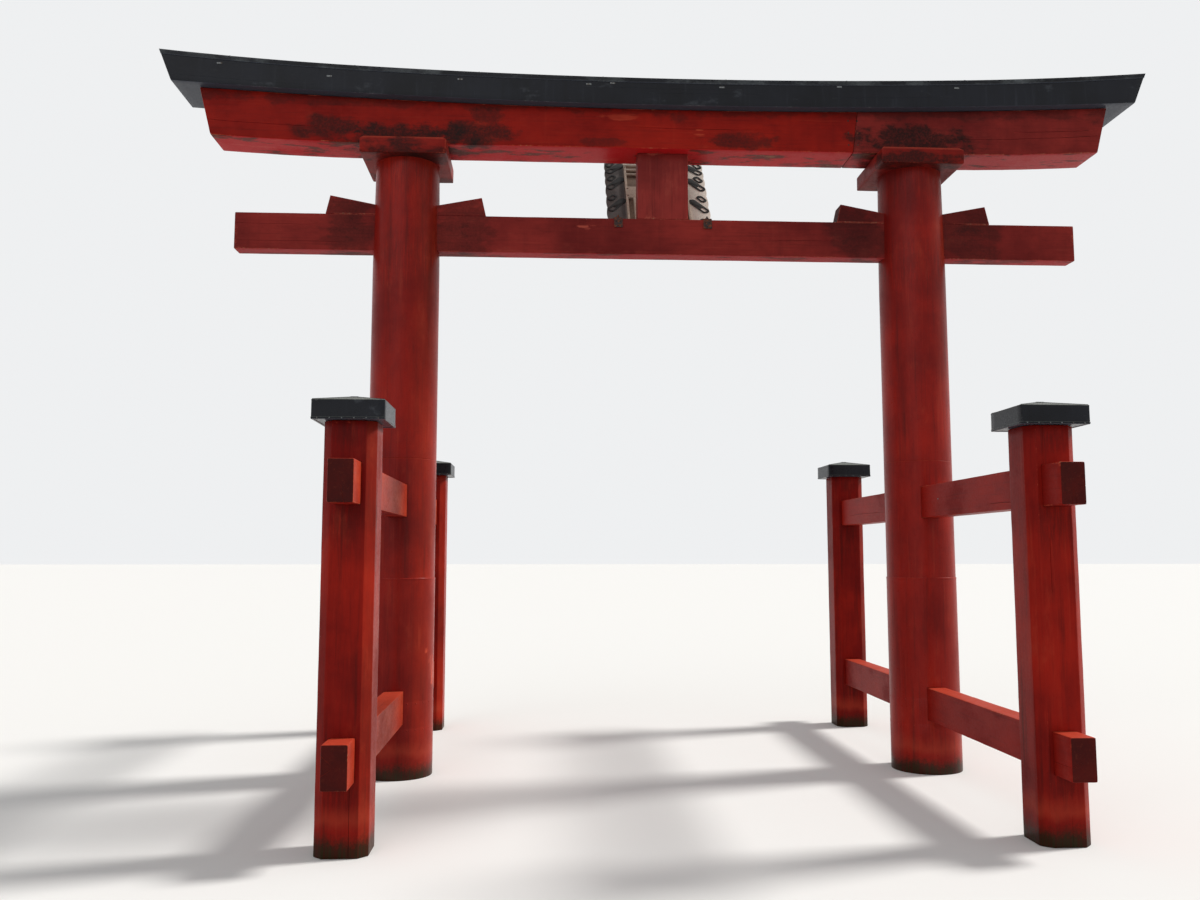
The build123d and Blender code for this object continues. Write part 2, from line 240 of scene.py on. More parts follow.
def red_paint(name, grain, age=0.5, grime=0.5, patches=(), peeling_and_lit_underside=0.0, foot=False,
              end_grime=0.0, wear=0.7, runs=(), scuffs=(), flaking=0.5, bleach_and_sunlight=0.15, gloss=0.42,
              ior=1.15, tone=()):
    """Weathered vermilion paint on timber whose grain runs along one axis.

    patches are (centre, radii, strength) places coated in a mildew colour: mildew stains, darker
    zones, and painted shade along the top of the lower lintel. runs are the same for dirt that
    rain drew down, which on the pillars also paints the shade below the capitals and the tie beam,
    and scuffs for pale rubbed places. The bleaching amount lightens the side towards +X: partly
    sun bleaching, partly painted sunlight on the side the key lamp lights. With peeling, what
    faces down also turns a brighter crimson, a painted glow of light bounced up from below. foot
    stains the lowest part, and tone is the final (saturation, value).
    """
    s = Shader(name, ior, VERMILION)
    broad = s.noise(0.8, 7, 0.6)
    medium = s.noise(4.5, 9, 0.66, grain, 0.4)
    fine = s.noise(38.0, 6, 0.68)
    fibre = s.noise(46.0, 5, 0.6, grain, 0.03)
    brush = s.noise(190.0, 3, 0.6, grain, 0.03)
    streak = s.noise(11.0, 5, 0.62, 2, 0.06)
    upright = s.remap(s.math("ABSOLUTE", s.facing[2]), 0.75, 0.35)
    upward = s.remap(s.facing[2], 0.35, 0.85)
    downward = s.remap(s.facing[2], -0.35, -0.85)

    s.coat(s.remap(broad, 0.3, 0.7, 0.05, 0.5 + 0.5 * age), VERMILION_DEEP)
    s.tint(medium, 0.45, 0.75, VERMILION_DEEP, 0.5)
    s.tint(medium, 0.45, 0.2, VERMILION_PALE, 0.2 + 0.12 * age)
    s.tint(fibre, 0.5, 0.85, SOOT_AND_SHADE, 0.4)
    s.tint(fibre, 0.42, 0.18, VERMILION_PALE, 0.2)
    s.tint(brush, 0.5, 0.75, VERMILION_DEEP, 0.22)
    rain = 1.0 if grain == 2 else 0.35
    s.tint(streak, 0.52, 0.78, SOOT_AND_SHADE, rain * (0.55 * grime + 0.15), upright)
    s.tint(streak, 0.42, 0.2, VERMILION_PALE, 0.26 * rain, upright)
    # Painted sunlight, partly sun bleaching: faces towards +X, the side the key lamp lights, are
    # lightened.
    sunlit_and_bleached = s.times(s.remap(s.facing[0], 0.15, 0.85), s.remap(medium, 0.3, 0.65, 1.0, 0.45))
    s.coat(s.times(sunlit_and_bleached, bleach_and_sunlight), colour(200, 86, 52))
    chalk = s.times(upward, s.remap(fine, 0.25, 0.65, 0.3, 0.75))
    s.coat(chalk, VERMILION_PALE)
    s.tint(fine, 0.655, 0.7, SOOT_AND_SHADE, 0.6 * grime)
    if peeling_and_lit_underside:
        # Painted light: what faces down turns a brighter crimson, standing in for light bounced up
        # from below.
        s.coat(s.times(downward, 0.75), colour(206, 34, 40))

    ragged = s.noise(5.0, 8, 0.7, grain, 0.6)
    # Stains, darker zones and painted shade, coated in a mildew colour.
    s.stain(patches, ragged, 0.55, s.remap(fine, 0.3, 0.6, 0.6, 1.0), MILDEW_AND_SHADE)
    s.stain(scuffs, ragged, 0.35, s.remap(fibre, 0.44, 0.54), VERMILION_PALE)
    if runs:
        # Dirt that rain drew down; on the pillars these runs also paint the shade below the
        # capitals and the tie beam.
        drawn = s.noise(26.0, 6, 0.7, 2, 0.08)
        s.stain(runs, drawn, 0.6, s.remap(drawn, 0.36, 0.62), SOOT_AND_SHADE)
    if peeling_and_lit_underside:
        flake = s.noise(5.0, 8, 0.7, grain, 0.3)
        s.tint(flake, 0.53, 0.59, colour(82, 38, 26), 1.0, downward, peeling_and_lit_underside)
        s.tint(flake, 0.64, 0.66, colour(140, 92, 62), 1.0, downward, peeling_and_lit_underside)
        s.tint(flake, 0.42, 0.3, colour(214, 92, 80), 1.0, downward, peeling_and_lit_underside, 0.5)

    weathered = s.remap(s.jitter(broad, medium, 0.5), 0.5, 0.7)
    limit = s.math("MULTIPLY_ADD", weathered, -0.04 * flaking, 0.765 - 0.06 * flaking)
    if foot:
        limit = s.math("SUBTRACT", limit, s.remap(s.axes[2], 0.75, 0.15, 0.0, 0.07))
    film_edge = s.math("SUBTRACT", s.noise(8.0, 9, 0.78, grain, 0.4), limit)
    s.tint(film_edge, -0.012, -0.004, VERMILION_PALE, 0.6)
    chip = s.remap(film_edge, -0.003, 0.003)
    s.coat(chip, colour(84, 50, 38))
    worn = s.edge_wear(medium, fine, 0.35 * wear, 1.25 * wear)
    s.tint(worn, 0.66, 0.9, VERMILION_PALE, 0.55)
    s.tint(worn, 0.93, 1.02, BARE_WOOD, 0.7)

    layers = [(broad, 0.25, 0.02), (fibre, 0.4, 0.0018), (brush, 0.25, 0.0006),
              (fine, 0.3, 0.0009), (s.times(chip, -1.0), 0.6, 0.0006)]
    if end_grime:
        along = s.remap(s.math("ABSOLUTE", s.facing[grain]), 0.8, 0.96)
        year = s.math("SINE", s.plus(s.times(s.attribute("pith"), 900.0), s.times(ragged, 26.0)))
        rings = s.times(along, year, s.remap(medium, 0.35, 0.6, 0.25, 1.0))
        s.coat(s.times(along, s.remap(broad, 0.3, 0.7, 0.75, 1.0), end_grime),
               colour(36, 19, 18))
        s.tint(fine, 0.56, 0.66, colour(96, 40, 30), 1.0, along, 0.5)
        s.tint(rings, 0.3, 1.0, colour(20, 12, 12), 1.0, 0.2)
        layers.append((rings, 0.3, 0.0008))
    s.tint(s.attribute("check"), 0.05, 0.5, colour(24, 10, 9))
    if foot:
        height = s.jitter(s.axes[2], medium, 0.26)
        s.tint(height, 0.46, 0.28, VERMILION_PALE, 1.0, s.remap(height, 0.2, 0.3), 0.28)
        s.tint(s.jitter(height, fine, 0.2), 0.22, 0.06, colour(36, 30, 20), 1.0, 0.85)
        algae = s.remap(fibre, 0.42, 0.58)
        s.tint(height, 0.16, 0.02, colour(40, 46, 26), 1.0, algae, 0.6)
    if tone:
        toned = s.add("HueSaturation", {"Color": s.base, "Saturation": tone[0], "Value": tone[1]})
        s.base = toned.outputs[0]
    dull = s.plus(s.remap(fine, 0.3, 0.7, gloss - 0.07, gloss + 0.09), s.times(chalk, 0.2),
                  s.times(weathered, 0.12))
    return s.finish(dull, *layers)


def black_paint(name, grain, worn, wear_and_glints=False, dust=0.6, gloss=0.4):
    """Matt black paint or sheet: rain streaks, pale worn blotches and dust on what faces up, and
    painted light bounced up onto what faces down.

    The flag after worn mottles, in pale grey, the part of a mesh that its attribute marks: partly
    wear, partly painted glints along the cover's upper edges.
    """
    s = Shader(name, 1.27, colour(13, 14, 19))
    broad = s.noise(1.2, 3)
    blotch = s.noise(3.2, 8, 0.68, grain, 0.5)
    fine = s.noise(42.0, 6, 0.66)
    streak = s.noise(14.0, 5, 0.64, 2, 0.07)
    upright = s.remap(s.math("ABSOLUTE", s.facing[2]), 0.8, 0.4)
    upward = s.remap(s.facing[2], 0.3, 0.85)
    downward = s.remap(s.facing[2], -0.3, -0.85)
    s.tint(broad, 0.3, 0.7, colour(25, 27, 34))
    s.tint(streak, 0.5, 0.75, colour(11, 11, 14), 0.5, upright)
    s.tint(streak, 0.45, 0.22, colour(66, 70, 78), 0.25, upright)
    s.tint(blotch, 0.58, 0.66, colour(78, 82, 88), worn)
    # Pale mottling: wear, and painted glints along the edges that the attribute marks most.
    if wear_and_glints:
        s.tint(blotch, 0.46, 0.6, colour(100, 106, 108), 1.0, s.attribute("wear_and_glints"), 0.4)
    # Painted light: what faces down turns blue-grey, standing in for light bounced up from below.
    s.coat(s.times(downward, 0.65), colour(80, 86, 98))
    settled = s.times(upward, s.remap(fine, 0.25, 0.6, 0.4, 1.0), dust)
    s.coat(settled, colour(112, 116, 110))
    s.tint(s.edge_wear(blotch, fine, 0.24, 0.72), 0.62, 0.92, colour(118, 120, 118), 0.65)
    dull = s.plus(s.remap(fine, 0.3, 0.7, gloss - 0.06, gloss + 0.1), s.times(settled, 0.3))
    return s.finish(dull, (broad, 0.25, 0.012), (blotch, 0.2, 0.0008), (streak, 0.15, 0.0008),
                    (fine, 0.2, 0.0006))


def old_board(name, grain, light, dark, dirt=0.5, painted_shade=0.0):
    """Bare or thinly painted board: long grain, silvering and specks of dirt.

    The last argument is how far the back of the half that the sun never reaches is darkened:
    painted shade, in a dark violet.
    """
    s = Shader(name, 1.3, light)
    broad = s.noise(2.2, 3)
    fibre = s.noise(60.0, 6, 0.62, grain, 0.05)
    fine = s.noise(80.0, 6, 0.7, grain, 0.1)
    s.tint(broad, 0.3, 0.7, dark, 0.6)
    s.tint(fibre, 0.45, 0.75, dark, 0.7)
    s.tint(fine, 0.6, 0.75, colour(58, 50, 46), dirt)
    s.tint(s.jitter(s.attribute("arris"), fine, 1.4), 0.8, 1.2, light, 0.6)
    if painted_shade:
        # Painted shade: the back of the left wing turns a dark violet, as that side lies in shade.
        painted_shade_mask = s.times(s.remap(s.axes[0], -0.36, -0.42), s.remap(s.facing[1], 0.3, -0.1), painted_shade)
        s.coat(s.times(painted_shade_mask, s.remap(broad, 0.3, 0.65, 1.0, 0.9)), colour(38, 29, 33))
    dull = s.remap(fine, 0.3, 0.7, 0.54, 0.72)
    return s.finish(dull, (fibre, 0.5, 0.0012), (fine, 0.3, 0.0006))


def iron(name, tint, rust):
    """Dark wrought iron or dull metal, with a second tint that comes through in patches."""
    s = Shader(name, 1.45, tint, shifted=False)
    s.feed(s.shader, {"Metallic": 0.6})
    rough = s.noise(30.0, 6, 0.7)
    fine = s.noise(120.0, 4)
    s.tint(rough, 0.46, 0.62, rust)
    s.tint(fine, 0.6, 0.75, colour(20, 17, 17), 0.5)
    dull = s.remap(rough, 0.4, 0.65, 0.4, 0.75)
    return s.finish(dull, (rough, 0.5, 0.0012), (fine, 0.4, 0.0005))


def add_object(name, data):
    item = bpy.data.objects.new(name, data)
    scene.collection.objects.link(item)
    return item


def new_mesh(points, faces):
    mesh = bpy.data.meshes.new("piece")
    mesh.from_pydata(points, [], faces)
    return mesh


@contextmanager
def editing(mesh):
    """The mesh as a bmesh, written back at the end."""
    work = bmesh.new()
    work.from_mesh(mesh)
    yield work
    work.to_mesh(mesh)
    work.free()


def evaluated(item):
    """Plain mesh of an object with its modifier or curve settings applied."""
    bpy.context.view_layer.update()
    graph = bpy.context.evaluated_depsgraph_get()
    return bpy.data.meshes.new_from_object(item.evaluated_get(graph), depsgraph=graph)


def publish(name, mesh, material, slot, *nodes):
    """Makes the piece, rides it on the gate and lets it stand for its CAD nodes."""
    mesh.name = name
    mesh.materials.append(material)
    piece = add_object(name, mesh)
    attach(piece, "root")
    if nodes:
        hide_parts(*nodes)
    return piece


def settle(mesh, angle=32):
    """Outward normals, smooth faces and sharp edges where the surface really turns."""
    with editing(mesh) as work:
        bmesh.ops.recalc_face_normals(work, faces=work.faces)
    mesh.polygons.foreach_set("use_smooth", [True] * len(mesh.polygons))
    mesh.set_sharp_from_angle(angle=math.radians(angle))
    mesh.update()


def assemble(name, meshes, material, slot, *nodes, turn=Matrix()):
    """Publishes several meshes as one piece, turned into place."""
    work = bmesh.new()
    for mesh in meshes:
        work.from_mesh(mesh)
        bpy.data.meshes.remove(mesh)
    whole = bpy.data.meshes.new(name)
    work.to_mesh(whole)
    work.free()
    whole.transform(turn)
    settle(whole, 30)
    publish(name, whole, material, slot, *nodes)


def set_attribute(mesh, name, values):
    layer = mesh.attributes.new(name, "FLOAT", "POINT")
    layer.data.foreach_set("value", values)


def ring_quads(near, far, count):
    """Quads between two rings of count points that start at near and far."""
    after = [(spot + 1) % count for spot in range(count)]
    return [(near + n, near + after[n], far + after[n], far + n) for n in range(count)]


def tube_quads(rows, count):
    """Quads of a tube through rings of count points."""
    return [quad for row in range(rows - 1)
            for quad in ring_quads(row * count, (row + 1) * count, count)]


def skin(rings, marks, caps=True, angle=32):
    """Mesh through closed rings. marks maps a name to a value for each point."""
    count = len(rings[0])
    points = [point for ring in rings for point in ring]
    faces = tube_quads(len(rings), count)
    for start in (0, len(points) - count) if caps else ():
        rim = [Vector(point) for point in points[start:start + count]]
        middle = sum(rim, Vector()) / count
        outer = start
        for share in (0.95, 0.5):
            inner = len(points)
            points += [tuple(middle + (point - middle) * share) for point in rim]
            for mark, values in marks.items():
                factor = {"arris": 0.0, "pith": share}.get(mark, 1.0)
                values += [value * factor for value in values[start:start + count]]
            faces += ring_quads(outer, inner, count)
            outer = inner
        points.append(tuple(middle))
        for values in marks.values():
            values.append(0.0)
        faces += [(outer + n, outer + (n + 1) % count, len(points) - 1) for n in range(count)]
    mesh = new_mesh(points, faces)
    for mark, values in marks.items():
        set_attribute(mesh, mark, values)
    settle(mesh, angle)
    return mesh


def ripple(point, size, depth, seed):
    """How far a hand-worked surface falls short of its full size here: 0 to depth."""
    level = noise.noise(Vector(point) / size + Vector((seed, 3.1 * seed, 7.7)))
    return depth * min(1.0, max(0.0, 0.5 + 0.6 * level))


# How far a bordering point lies from its arris, how wide an arris wears, and how far other
# points keep from a drying check
BORDER, WORN_WIDTH, CHECK_CLEARANCE = 0.013, 0.012, 0.015


def outline(half_a, half_b, chamfer, rounding, spacing, checks=(), bordered=True):
    """Closed section of a timber, as (point, outward, along, arris, check) rows.

    arris is 1 on an arris, and check is (number of a drying check, whether this is its bottom).
    checks lists the (side, place, width) of each, and side 0 faces +a. Bordering points keep
    the wear to the arrises.
    """
    a, b = half_a - chamfer, half_b - chamfer
    corners = [(half_a, -b), (half_a, b), (a, half_b), (-a, half_b),
               (-half_a, b), (-half_a, -b), (-a, -half_b), (a, -half_b)]
    corners = [Vector(corner) for corner in dict.fromkeys(corners)]
    result = []
    for side, start in enumerate(corners):
        end = corners[(side + 1) % len(corners)]
        along = (end - start).normalized()
        turn = along.angle((corners[(side + 2) % len(corners)] - end).normalized())
        trim = rounding * math.tan(turn / 2)
        outward = Vector((along.y, -along.x))
        length = (end - start).length
        flat = length - 2 * trim
        steps = max(1, round(flat / spacing))
        places = [(trim + flat * step / steps, None) for step in range(steps + 1)]
        if bordered:
            places += [(trim + BORDER, None), (length - trim - BORDER, None)]
        for number, (owner, share, width) in enumerate(checks):
            if owner == side:
                spot = share * length
                places = [(place, check) for place, check in places
                          if check or abs(place - spot) > CHECK_CLEARANCE]
                places += [(spot - width / 2, (number, False)), (spot, (number, True)),
                           (spot + width / 2, (number, False))]
        for place, check in sorted(places, key=lambda entry: entry[0]):
            arris = max(0.0, 1.0 - (min(place, length - place) - trim) / WORN_WIDTH)
            result.append((start + along * place, outward, along, arris, check))
        centre = end - along * trim - outward * rounding
        turned = Matrix.Rotation(turn / 2, 2) @ outward
        result.append((centre + turned * rounding, turned, along, 1.0, None))
    return result


def drying_checks(number, sides, spread, apart, draw_run):
    """Drying checks by chance: their (side, place, width) rows for an outline, and their runs.

    A run is (begin, end, depth, phase of its sway). draw_run gives a width, begin and length.
    """
    openings, runs = [], []
    for _ in range(number):
        side, place = chance.choice(sides), chance.uniform(*spread)
        if any(owner == side and abs(place - other) < apart for owner, other, _ in openings):
            continue
        width, begin, length = draw_run()
        openings.append((side, place, width))
        runs.append((begin, begin + length, chance.uniform(0.006, 0.014), chance.uniform(0, 6)))
    return openings, runs


def stations(start, end, count, rounding, margin, border):
    """(place, inset, arris) rows along a timber whose ends are rounded over."""
    near = ((0.0, rounding, 1.0), (0.3 * rounding, 0.3 * rounding, 1.0), (rounding, 0.0, border))
    reach = end - start - 2 * margin
    return ([(start + place, inset, arris) for place, inset, arris in near]
            + [(start + margin + reach * n / count, 0.0, 0.0) for n in range(1, count)]
            + [(end - place, inset, arris) for place, inset, arris in reversed(near)])


# How a timber is hewn: size and depth of the dents in its faces, size and share of those on its
# arrises, and how far and how often its drying checks sway
Hewing = namedtuple("Hewing", "dents depth chips share sway slow quick")
SQUARED = Hewing(dents=0.35, depth=0.0016, chips=0.09, share=1.6, sway=0.006, slow=2.1, quick=9)
CURVED = Hewing(dents=0.5, depth=0.0025, chips=0.1, share=1.5, sway=0.007, slow=1.9, quick=8)


def hewn(axis, rows, profile, runs, locate, hewing, seed, notches=()):
    """Mesh of a timber from its stations and profile, with open checks and uneven faces.

    locate turns a place, an inset and a point of the section into a point of the gate. notches
    maps the place of an end to how far checks that reach it cut into it.
    """
    first, second = (axis + 1) % 3, (axis + 2) % 3
    rings, marks = [], {"arris": [], "check": [], "pith": []}
    for place, inset, edge in rows:
        ring = []
        for spot, outward, along, arris, check in profile:
            flat, opened = spot, 0.0
            if check:
                number, bottom = check
                begin, end, deep, phase = runs[number]
                share = (place - begin) / (end - begin)
                if bottom and 0 < share < 1:
                    opened = math.sin(math.pi * share) ** 0.5
                sway = (hewing.sway * math.sin(place * hewing.slow + phase)
                        + 0.002 * math.sin(place * hewing.quick + phase))
                flat = spot + (along * sway - outward * (deep * opened))
            point = locate(place, inset, flat)
            chips = arris * ripple(point, hewing.chips, 1.0, seed + 4)
            short = ripple(point, hewing.dents, hewing.depth, seed)
            short += hewing.share * hewing.depth * chips
            point[first] -= outward.x * short
            point[second] -= outward.y * short
            if opened and place in notches:
                point[axis] += notches[place] * deep * opened
            ring.append(tuple(point))
            marks["arris"].append(max(arris, edge))
            marks["check"].append(opened)
            marks["pith"].append(math.hypot(flat.x, flat.y))
        rings.append(ring)
    return skin(rings, marks)


def timber(node, axis, material, chamfer=0.0, rounding=0.007, checks=6, spacing=0.06, step=0.13,
           cuts=()):
    """A straight squared timber in place of a CAD node, with mortises cut through it."""
    low, high = [Vector(corner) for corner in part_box(node)]
    middle, half = (low + high) / 2, (high - low) / 2
    length = 2 * half[axis]
    first, second = (axis + 1) % 3, (axis + 2) % 3
    seed = chance.uniform(0, 50)

    def draw_run():
        width = chance.uniform(0.5, 1.0) * 0.004
        reach = chance.uniform(0.12, 0.42) * min(length, 4.0)
        inside = chance.uniform(0.02, 0.98) * (length - reach)
        return width, chance.choice((-0.2, inside, length - reach + 0.2)), reach

    def locate(place, inset, flat):
        point = [low[axis] + place] * 3
        point[first] = middle[first] + flat.x * (1 - inset / half[first])
        point[second] = middle[second] + flat.y * (1 - inset / half[second])
        return point

    sides = (0, 2, 4, 6) if chamfer else (0, 1, 2, 3)
    openings, runs = drying_checks(checks, sides, (0.18, 0.82), 0.09, draw_run)
    profile = outline(half[first], half[second], chamfer, rounding, spacing, openings)
    count = max(2, round((length - 2 * rounding) / step))
    rows = stations(0.0, length, count, rounding, rounding, 1.0)
    mesh = hewn(axis, rows, profile, runs, locate, SQUARED, seed, {0.0: 0.8, length: -0.8})
    piece = publish(f"{node}_timber", mesh, material, "red_timber", node)
    for cut in cuts:
        carve(piece, cut)


def rise(distance, radius):
    return radius - math.sqrt(radius * radius - distance * distance)


def crown(x):
    """Height of the upper lintel's top line."""
    x = abs(x)
    if x <= CROWN_HALF:
        return CROWN_HEIGHT + rise(x, CROWN_RADIUS)
    turn = CROWN_HALF / CROWN_RADIUS
    centre = CROWN_HALF - TIP_RADIUS * turn
    level = CROWN_HEIGHT + rise(CROWN_HALF, CROWN_RADIUS) + TIP_RADIUS * math.sqrt(1 - turn * turn)
    return level - math.sqrt(TIP_RADIUS**2 - (x - centre) ** 2)


def seat(x):
    """Height of the joint between lower and upper lintel."""
    return LINTEL_SEAT + rise(x, SEAT_RADIUS)


def belly(x):
    """Height of the lower lintel's underside, level in the middle and lifted at the ends."""
    run = LOWER_FOOT_REACH - LOWER_FLAT_REACH
    radius = (run * run + LOWER_FOOT_LIFT**2) / (2 * LOWER_FOOT_LIFT)
    return LINTEL_UNDERSIDE + rise(max(0.0, abs(x) - LOWER_FLAT_REACH), radius)


def long_lintel(node, material, slot, start, end, foot, top, underside, top_line, depth, checks=8):
    """A curved lintel whose foot runs from start to end.

    Its ends slope: where the foot reaches as far as foot, the top reaches as far as top.
    """
    height = 0.5
    rounding = 0.009
    seed = chance.uniform(0, 50)

    def draw_run():
        width, reach = chance.uniform(0.0025, 0.005), chance.uniform(0.6, 2.2)
        return width, chance.uniform(start, end) - reach / 2, reach

    def locate(x, inset, flat):
        x_top = x / foot * top
        floor, roof = underside(x), top_line(x_top)
        level = 0.5 + flat.y / height * (1 - 2 * inset / (roof - floor))
        return [x + (x_top - x) * level, flat.x * (1 - 2 * inset / depth),
                floor + (roof - floor) * level]

    openings, runs = drying_checks(checks, (1, 3, 2, 2, 0), (0.15, 0.85), 0.08, draw_run)
    profile = outline(depth / 2, height / 2, 0.0, rounding, 0.075, openings)
    rows = stations(start, end, round((end - start) / 0.12), rounding, 0.0, 0.0)
    mesh = hewn(0, rows, profile, runs, locate, CURVED, seed)
    publish(f"{node}_timber", mesh, material, slot, node)


def box_mesh(low, high):
    points = [(x, y, z) for x in (low[0], high[0]) for y in (low[1], high[1])
              for z in (low[2], high[2])]
    return new_mesh(points, [(0, 1, 3, 2), (4, 6, 7, 5), (0, 4, 5, 1), (2, 3, 7, 6), (0, 2, 6, 4),
                             (1, 5, 7, 3)])


def round_edges(work, width):
    bmesh.ops.recalc_face_normals(work, faces=work.faces)
    bmesh.ops.bevel(work, geom=work.edges[:], offset=width, segments=2, profile=0.7,
                    affect="EDGES")


def bevelled_box(low, high, bevel):
    mesh = box_mesh(low, high)
    with editing(mesh) as work:
        round_edges(work, bevel)
    return mesh


def volume(mesh):
    work = bmesh.new()
    work.from_mesh(mesh)
    result = work.calc_volume()
    work.free()
    return result


def carve(piece, tool_mesh):
    """Cuts a mortise through a piece, with the tool moved a little where the cut fails."""
    tool = add_object("tool", tool_mesh)
    before = volume(piece.data)
    tries, least_left = 6, 0.75
    for attempt in range(tries):
        tool.location = (0.0004 * attempt, 0.0, 0.0003 * attempt)
        cutter = piece.modifiers.new("mortise", "BOOLEAN")
        cutter.operation = "DIFFERENCE"
        cutter.solver = "EXACT" if attempt < tries - 1 else "FAST"
        cutter.object = tool
        mesh = evaluated(piece)
        piece.modifiers.remove(cutter)
        if least_left * before < volume(mesh) < before:
            break
        bpy.data.meshes.remove(mesh)
    else:
        raise RuntimeError(f"no clean mortise in {piece.name}")
    whole = piece.data
    piece.data = mesh
    bpy.data.meshes.remove(whole)
    mesh.name = piece.name
    bpy.data.objects.remove(tool)
    bpy.data.meshes.remove(tool_mesh)
    mesh.set_sharp_from_angle(angle=math.radians(32))


def mortise(tie, start, end):
    """Cutting block round a side tie, from start to end along it."""
    (left, _, floor), (right, _, roof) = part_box(tie)
    return box_mesh((left - MORTISE_GAP, start, floor - MORTISE_GAP),
                    (right + MORTISE_GAP, end, roof + MORTISE_GAP))


def circle(centre, radius, level, count):
    """Points of a level circle round the first two numbers of centre."""
    angles = [2 * math.pi * spot / count for spot in range(count)]
    return [(centre[0] + radius * math.cos(angle), centre[1] + radius * math.sin(angle), level)
            for angle in angles]


def turned(profile, centre, wander, seed, closed=False):
    """Lathe mesh round a vertical axis. profile lists (radius, height, arris)."""
    segments = 112
    rings = []
    for radius, height, _ in profile:
        ring = []
        for point in circle(centre, radius, height, segments):
            share = 1 - ripple(point, 0.4, wander, seed) / radius
            ring.append((centre[0] + (point[0] - centre[0]) * share,
                         centre[1] + (point[1] - centre[1]) * share, height))
        rings.append(ring)
    arrises = [arris for _, _, arris in profile for _ in range(segments)]
    if closed:
        rings.append(rings[0])
        arrises += arrises[:segments]
    return skin(rings, {"arris": arrises}, caps=not closed)


def studs(name, places, radius, height, material, slot):
    """Domed nail heads at (point, outward direction) places, as one piece."""
    sides, steps = 12, 4
    head = [(0.0, 0.0, height)]
    shell = [(0, 1 + n, 1 + (n + 1) % sides) for n in range(sides)]
    for step in range(1, steps + 1):
        shell += ring_quads(len(head), len(head) + sides, sides)
        turn = math.pi / 2 * step / steps
        head += circle((0, 0), radius * math.sin(turn), height * math.cos(turn), sides)
    shell.append(tuple(reversed(range(len(head), len(head) + sides))))
    head += circle((0, 0), radius, -0.6 * height, sides)
    points, faces = [], []
    for place, outward in places:
        start = len(points)
        turn = Vector(outward).to_track_quat("Z", "Y").to_matrix()
        points += [tuple(Vector(place) + turn @ Vector(point)) for point in head]
        faces += [tuple(start + index for index in face) for face in shell]
    mesh = new_mesh(points, faces)
    settle(mesh, 50)
    publish(name, mesh, material, slot)


def hexagon_screw(place):
    """Washer, hexagon nut and rounded screw end, upright on a place."""
    count, sixth = 24, math.pi / 3
    rings = []
    for radius, level, hexagon in (
            (0.030, 0.0, False), (0.030, 0.004, False), (0.019, 0.0042, True),
            (0.020, 0.006, True), (0.020, 0.020, True), (0.017, 0.023, True),
            (0.0095, 0.0232, False), (0.0095, 0.036, False), (0.006, 0.040, False)):
        ring = []
        for spot in range(count):
            angle = 2 * math.pi * spot / count
            reach = radius
            if hexagon:
                part = (angle + sixth / 2) % sixth - sixth / 2
                reach = radius * math.cos(sixth / 2) / math.cos(part)
            ring.append((place[0] + reach * math.cos(angle), place[1] + reach * math.sin(angle),
                         place[2] + level))
        rings.append(ring)
    return skin(rings, {}, angle=30)


def plate(loops, low, high, bevel):
    """Flat plate from closed outlines, holes included, between two heights of its own plane."""
    curve = bpy.data.curves.new("plate", "CURVE")
    curve.dimensions = "2D"
    curve.fill_mode = "BOTH"
    curve.extrude = (high - low) / 2 - bevel
    curve.bevel_depth = bevel
    curve.bevel_resolution = 1
    curve.offset = -bevel
    for loop in loops:
        spline = curve.splines.new("POLY")
        spline.points.add(len(loop) - 1)
        for point, (x, y) in zip(spline.points, loop):
            point.co = (x, y, 0, 1)
        spline.use_cyclic_u = True
    holder = add_object("plate", curve)
    mesh = evaluated(holder)
    bpy.data.objects.remove(holder)
    bpy.data.curves.remove(curve)
    mesh.transform(Matrix.Translation((0, 0, (low + high) / 2)))
    with editing(mesh) as work:
        bmesh.ops.remove_doubles(work, verts=work.verts, dist=0.00005)
    settle(mesh, 30)
    return mesh


def make_camera():
    data = bpy.data.cameras.new("camera")
    data.sensor_width = 36.0
    data.sensor_fit = "HORIZONTAL"
    data.lens = CAMERA_LENS
    data.clip_end = 600.0
    camera = add_object("camera", data)
    camera.location = CAMERA_PLACE
    camera.rotation_euler = (math.radians(90 + CAMERA_PITCH), 0.0, math.radians(-CAMERA_YAW))
    scene.camera = camera


def make_floor():
    """Pale floor, less bright to bounced light than to the eye."""
    size = 240.0
    mesh = new_mesh([(-size, -size, 0), (size, -size, 0), (size, size, 0), (-size, size, 0)],
                    [(0, 1, 2, 3)])
    floor = add_object("floor", mesh)
    floor.location.z = -0.001
    s = Shader("floor", 1.5, (0.5, 0.5, 0.5, 1), shifted=False)
    s.feed(s.shader, {"Specular IOR Level": 0.1})
    s.coat(s.ray("Is Camera Ray", "Is Glossy Ray"), (0.82, 0.82, 0.81, 1))
    mesh.materials.append(s.finish(0.9))


def make_world(level):
    """Even surround: pale to the camera and in reflections, at a lower level as light."""
    world = bpy.data.worlds.new("studio")
    world.use_nodes = True
    world.node_tree.nodes.clear()
    s = Nodes(world.node_tree)
    seen = s.add("Background", {"Color": BACKDROP, "Strength": 1.0})
    light = s.add("Background", {"Color": (1.0, 1.0, 1.0, 1.0), "Strength": level})
    ray = s.ray("Is Camera Ray", "Is Glossy Ray", "Is Transmission Ray")
    mix = s.add("MixShader", {0: ray, 1: light.outputs[0], 2: seen.outputs[0]})
    s.add("OutputWorld", {"Surface": mix.outputs[0]})
    scene.world = world


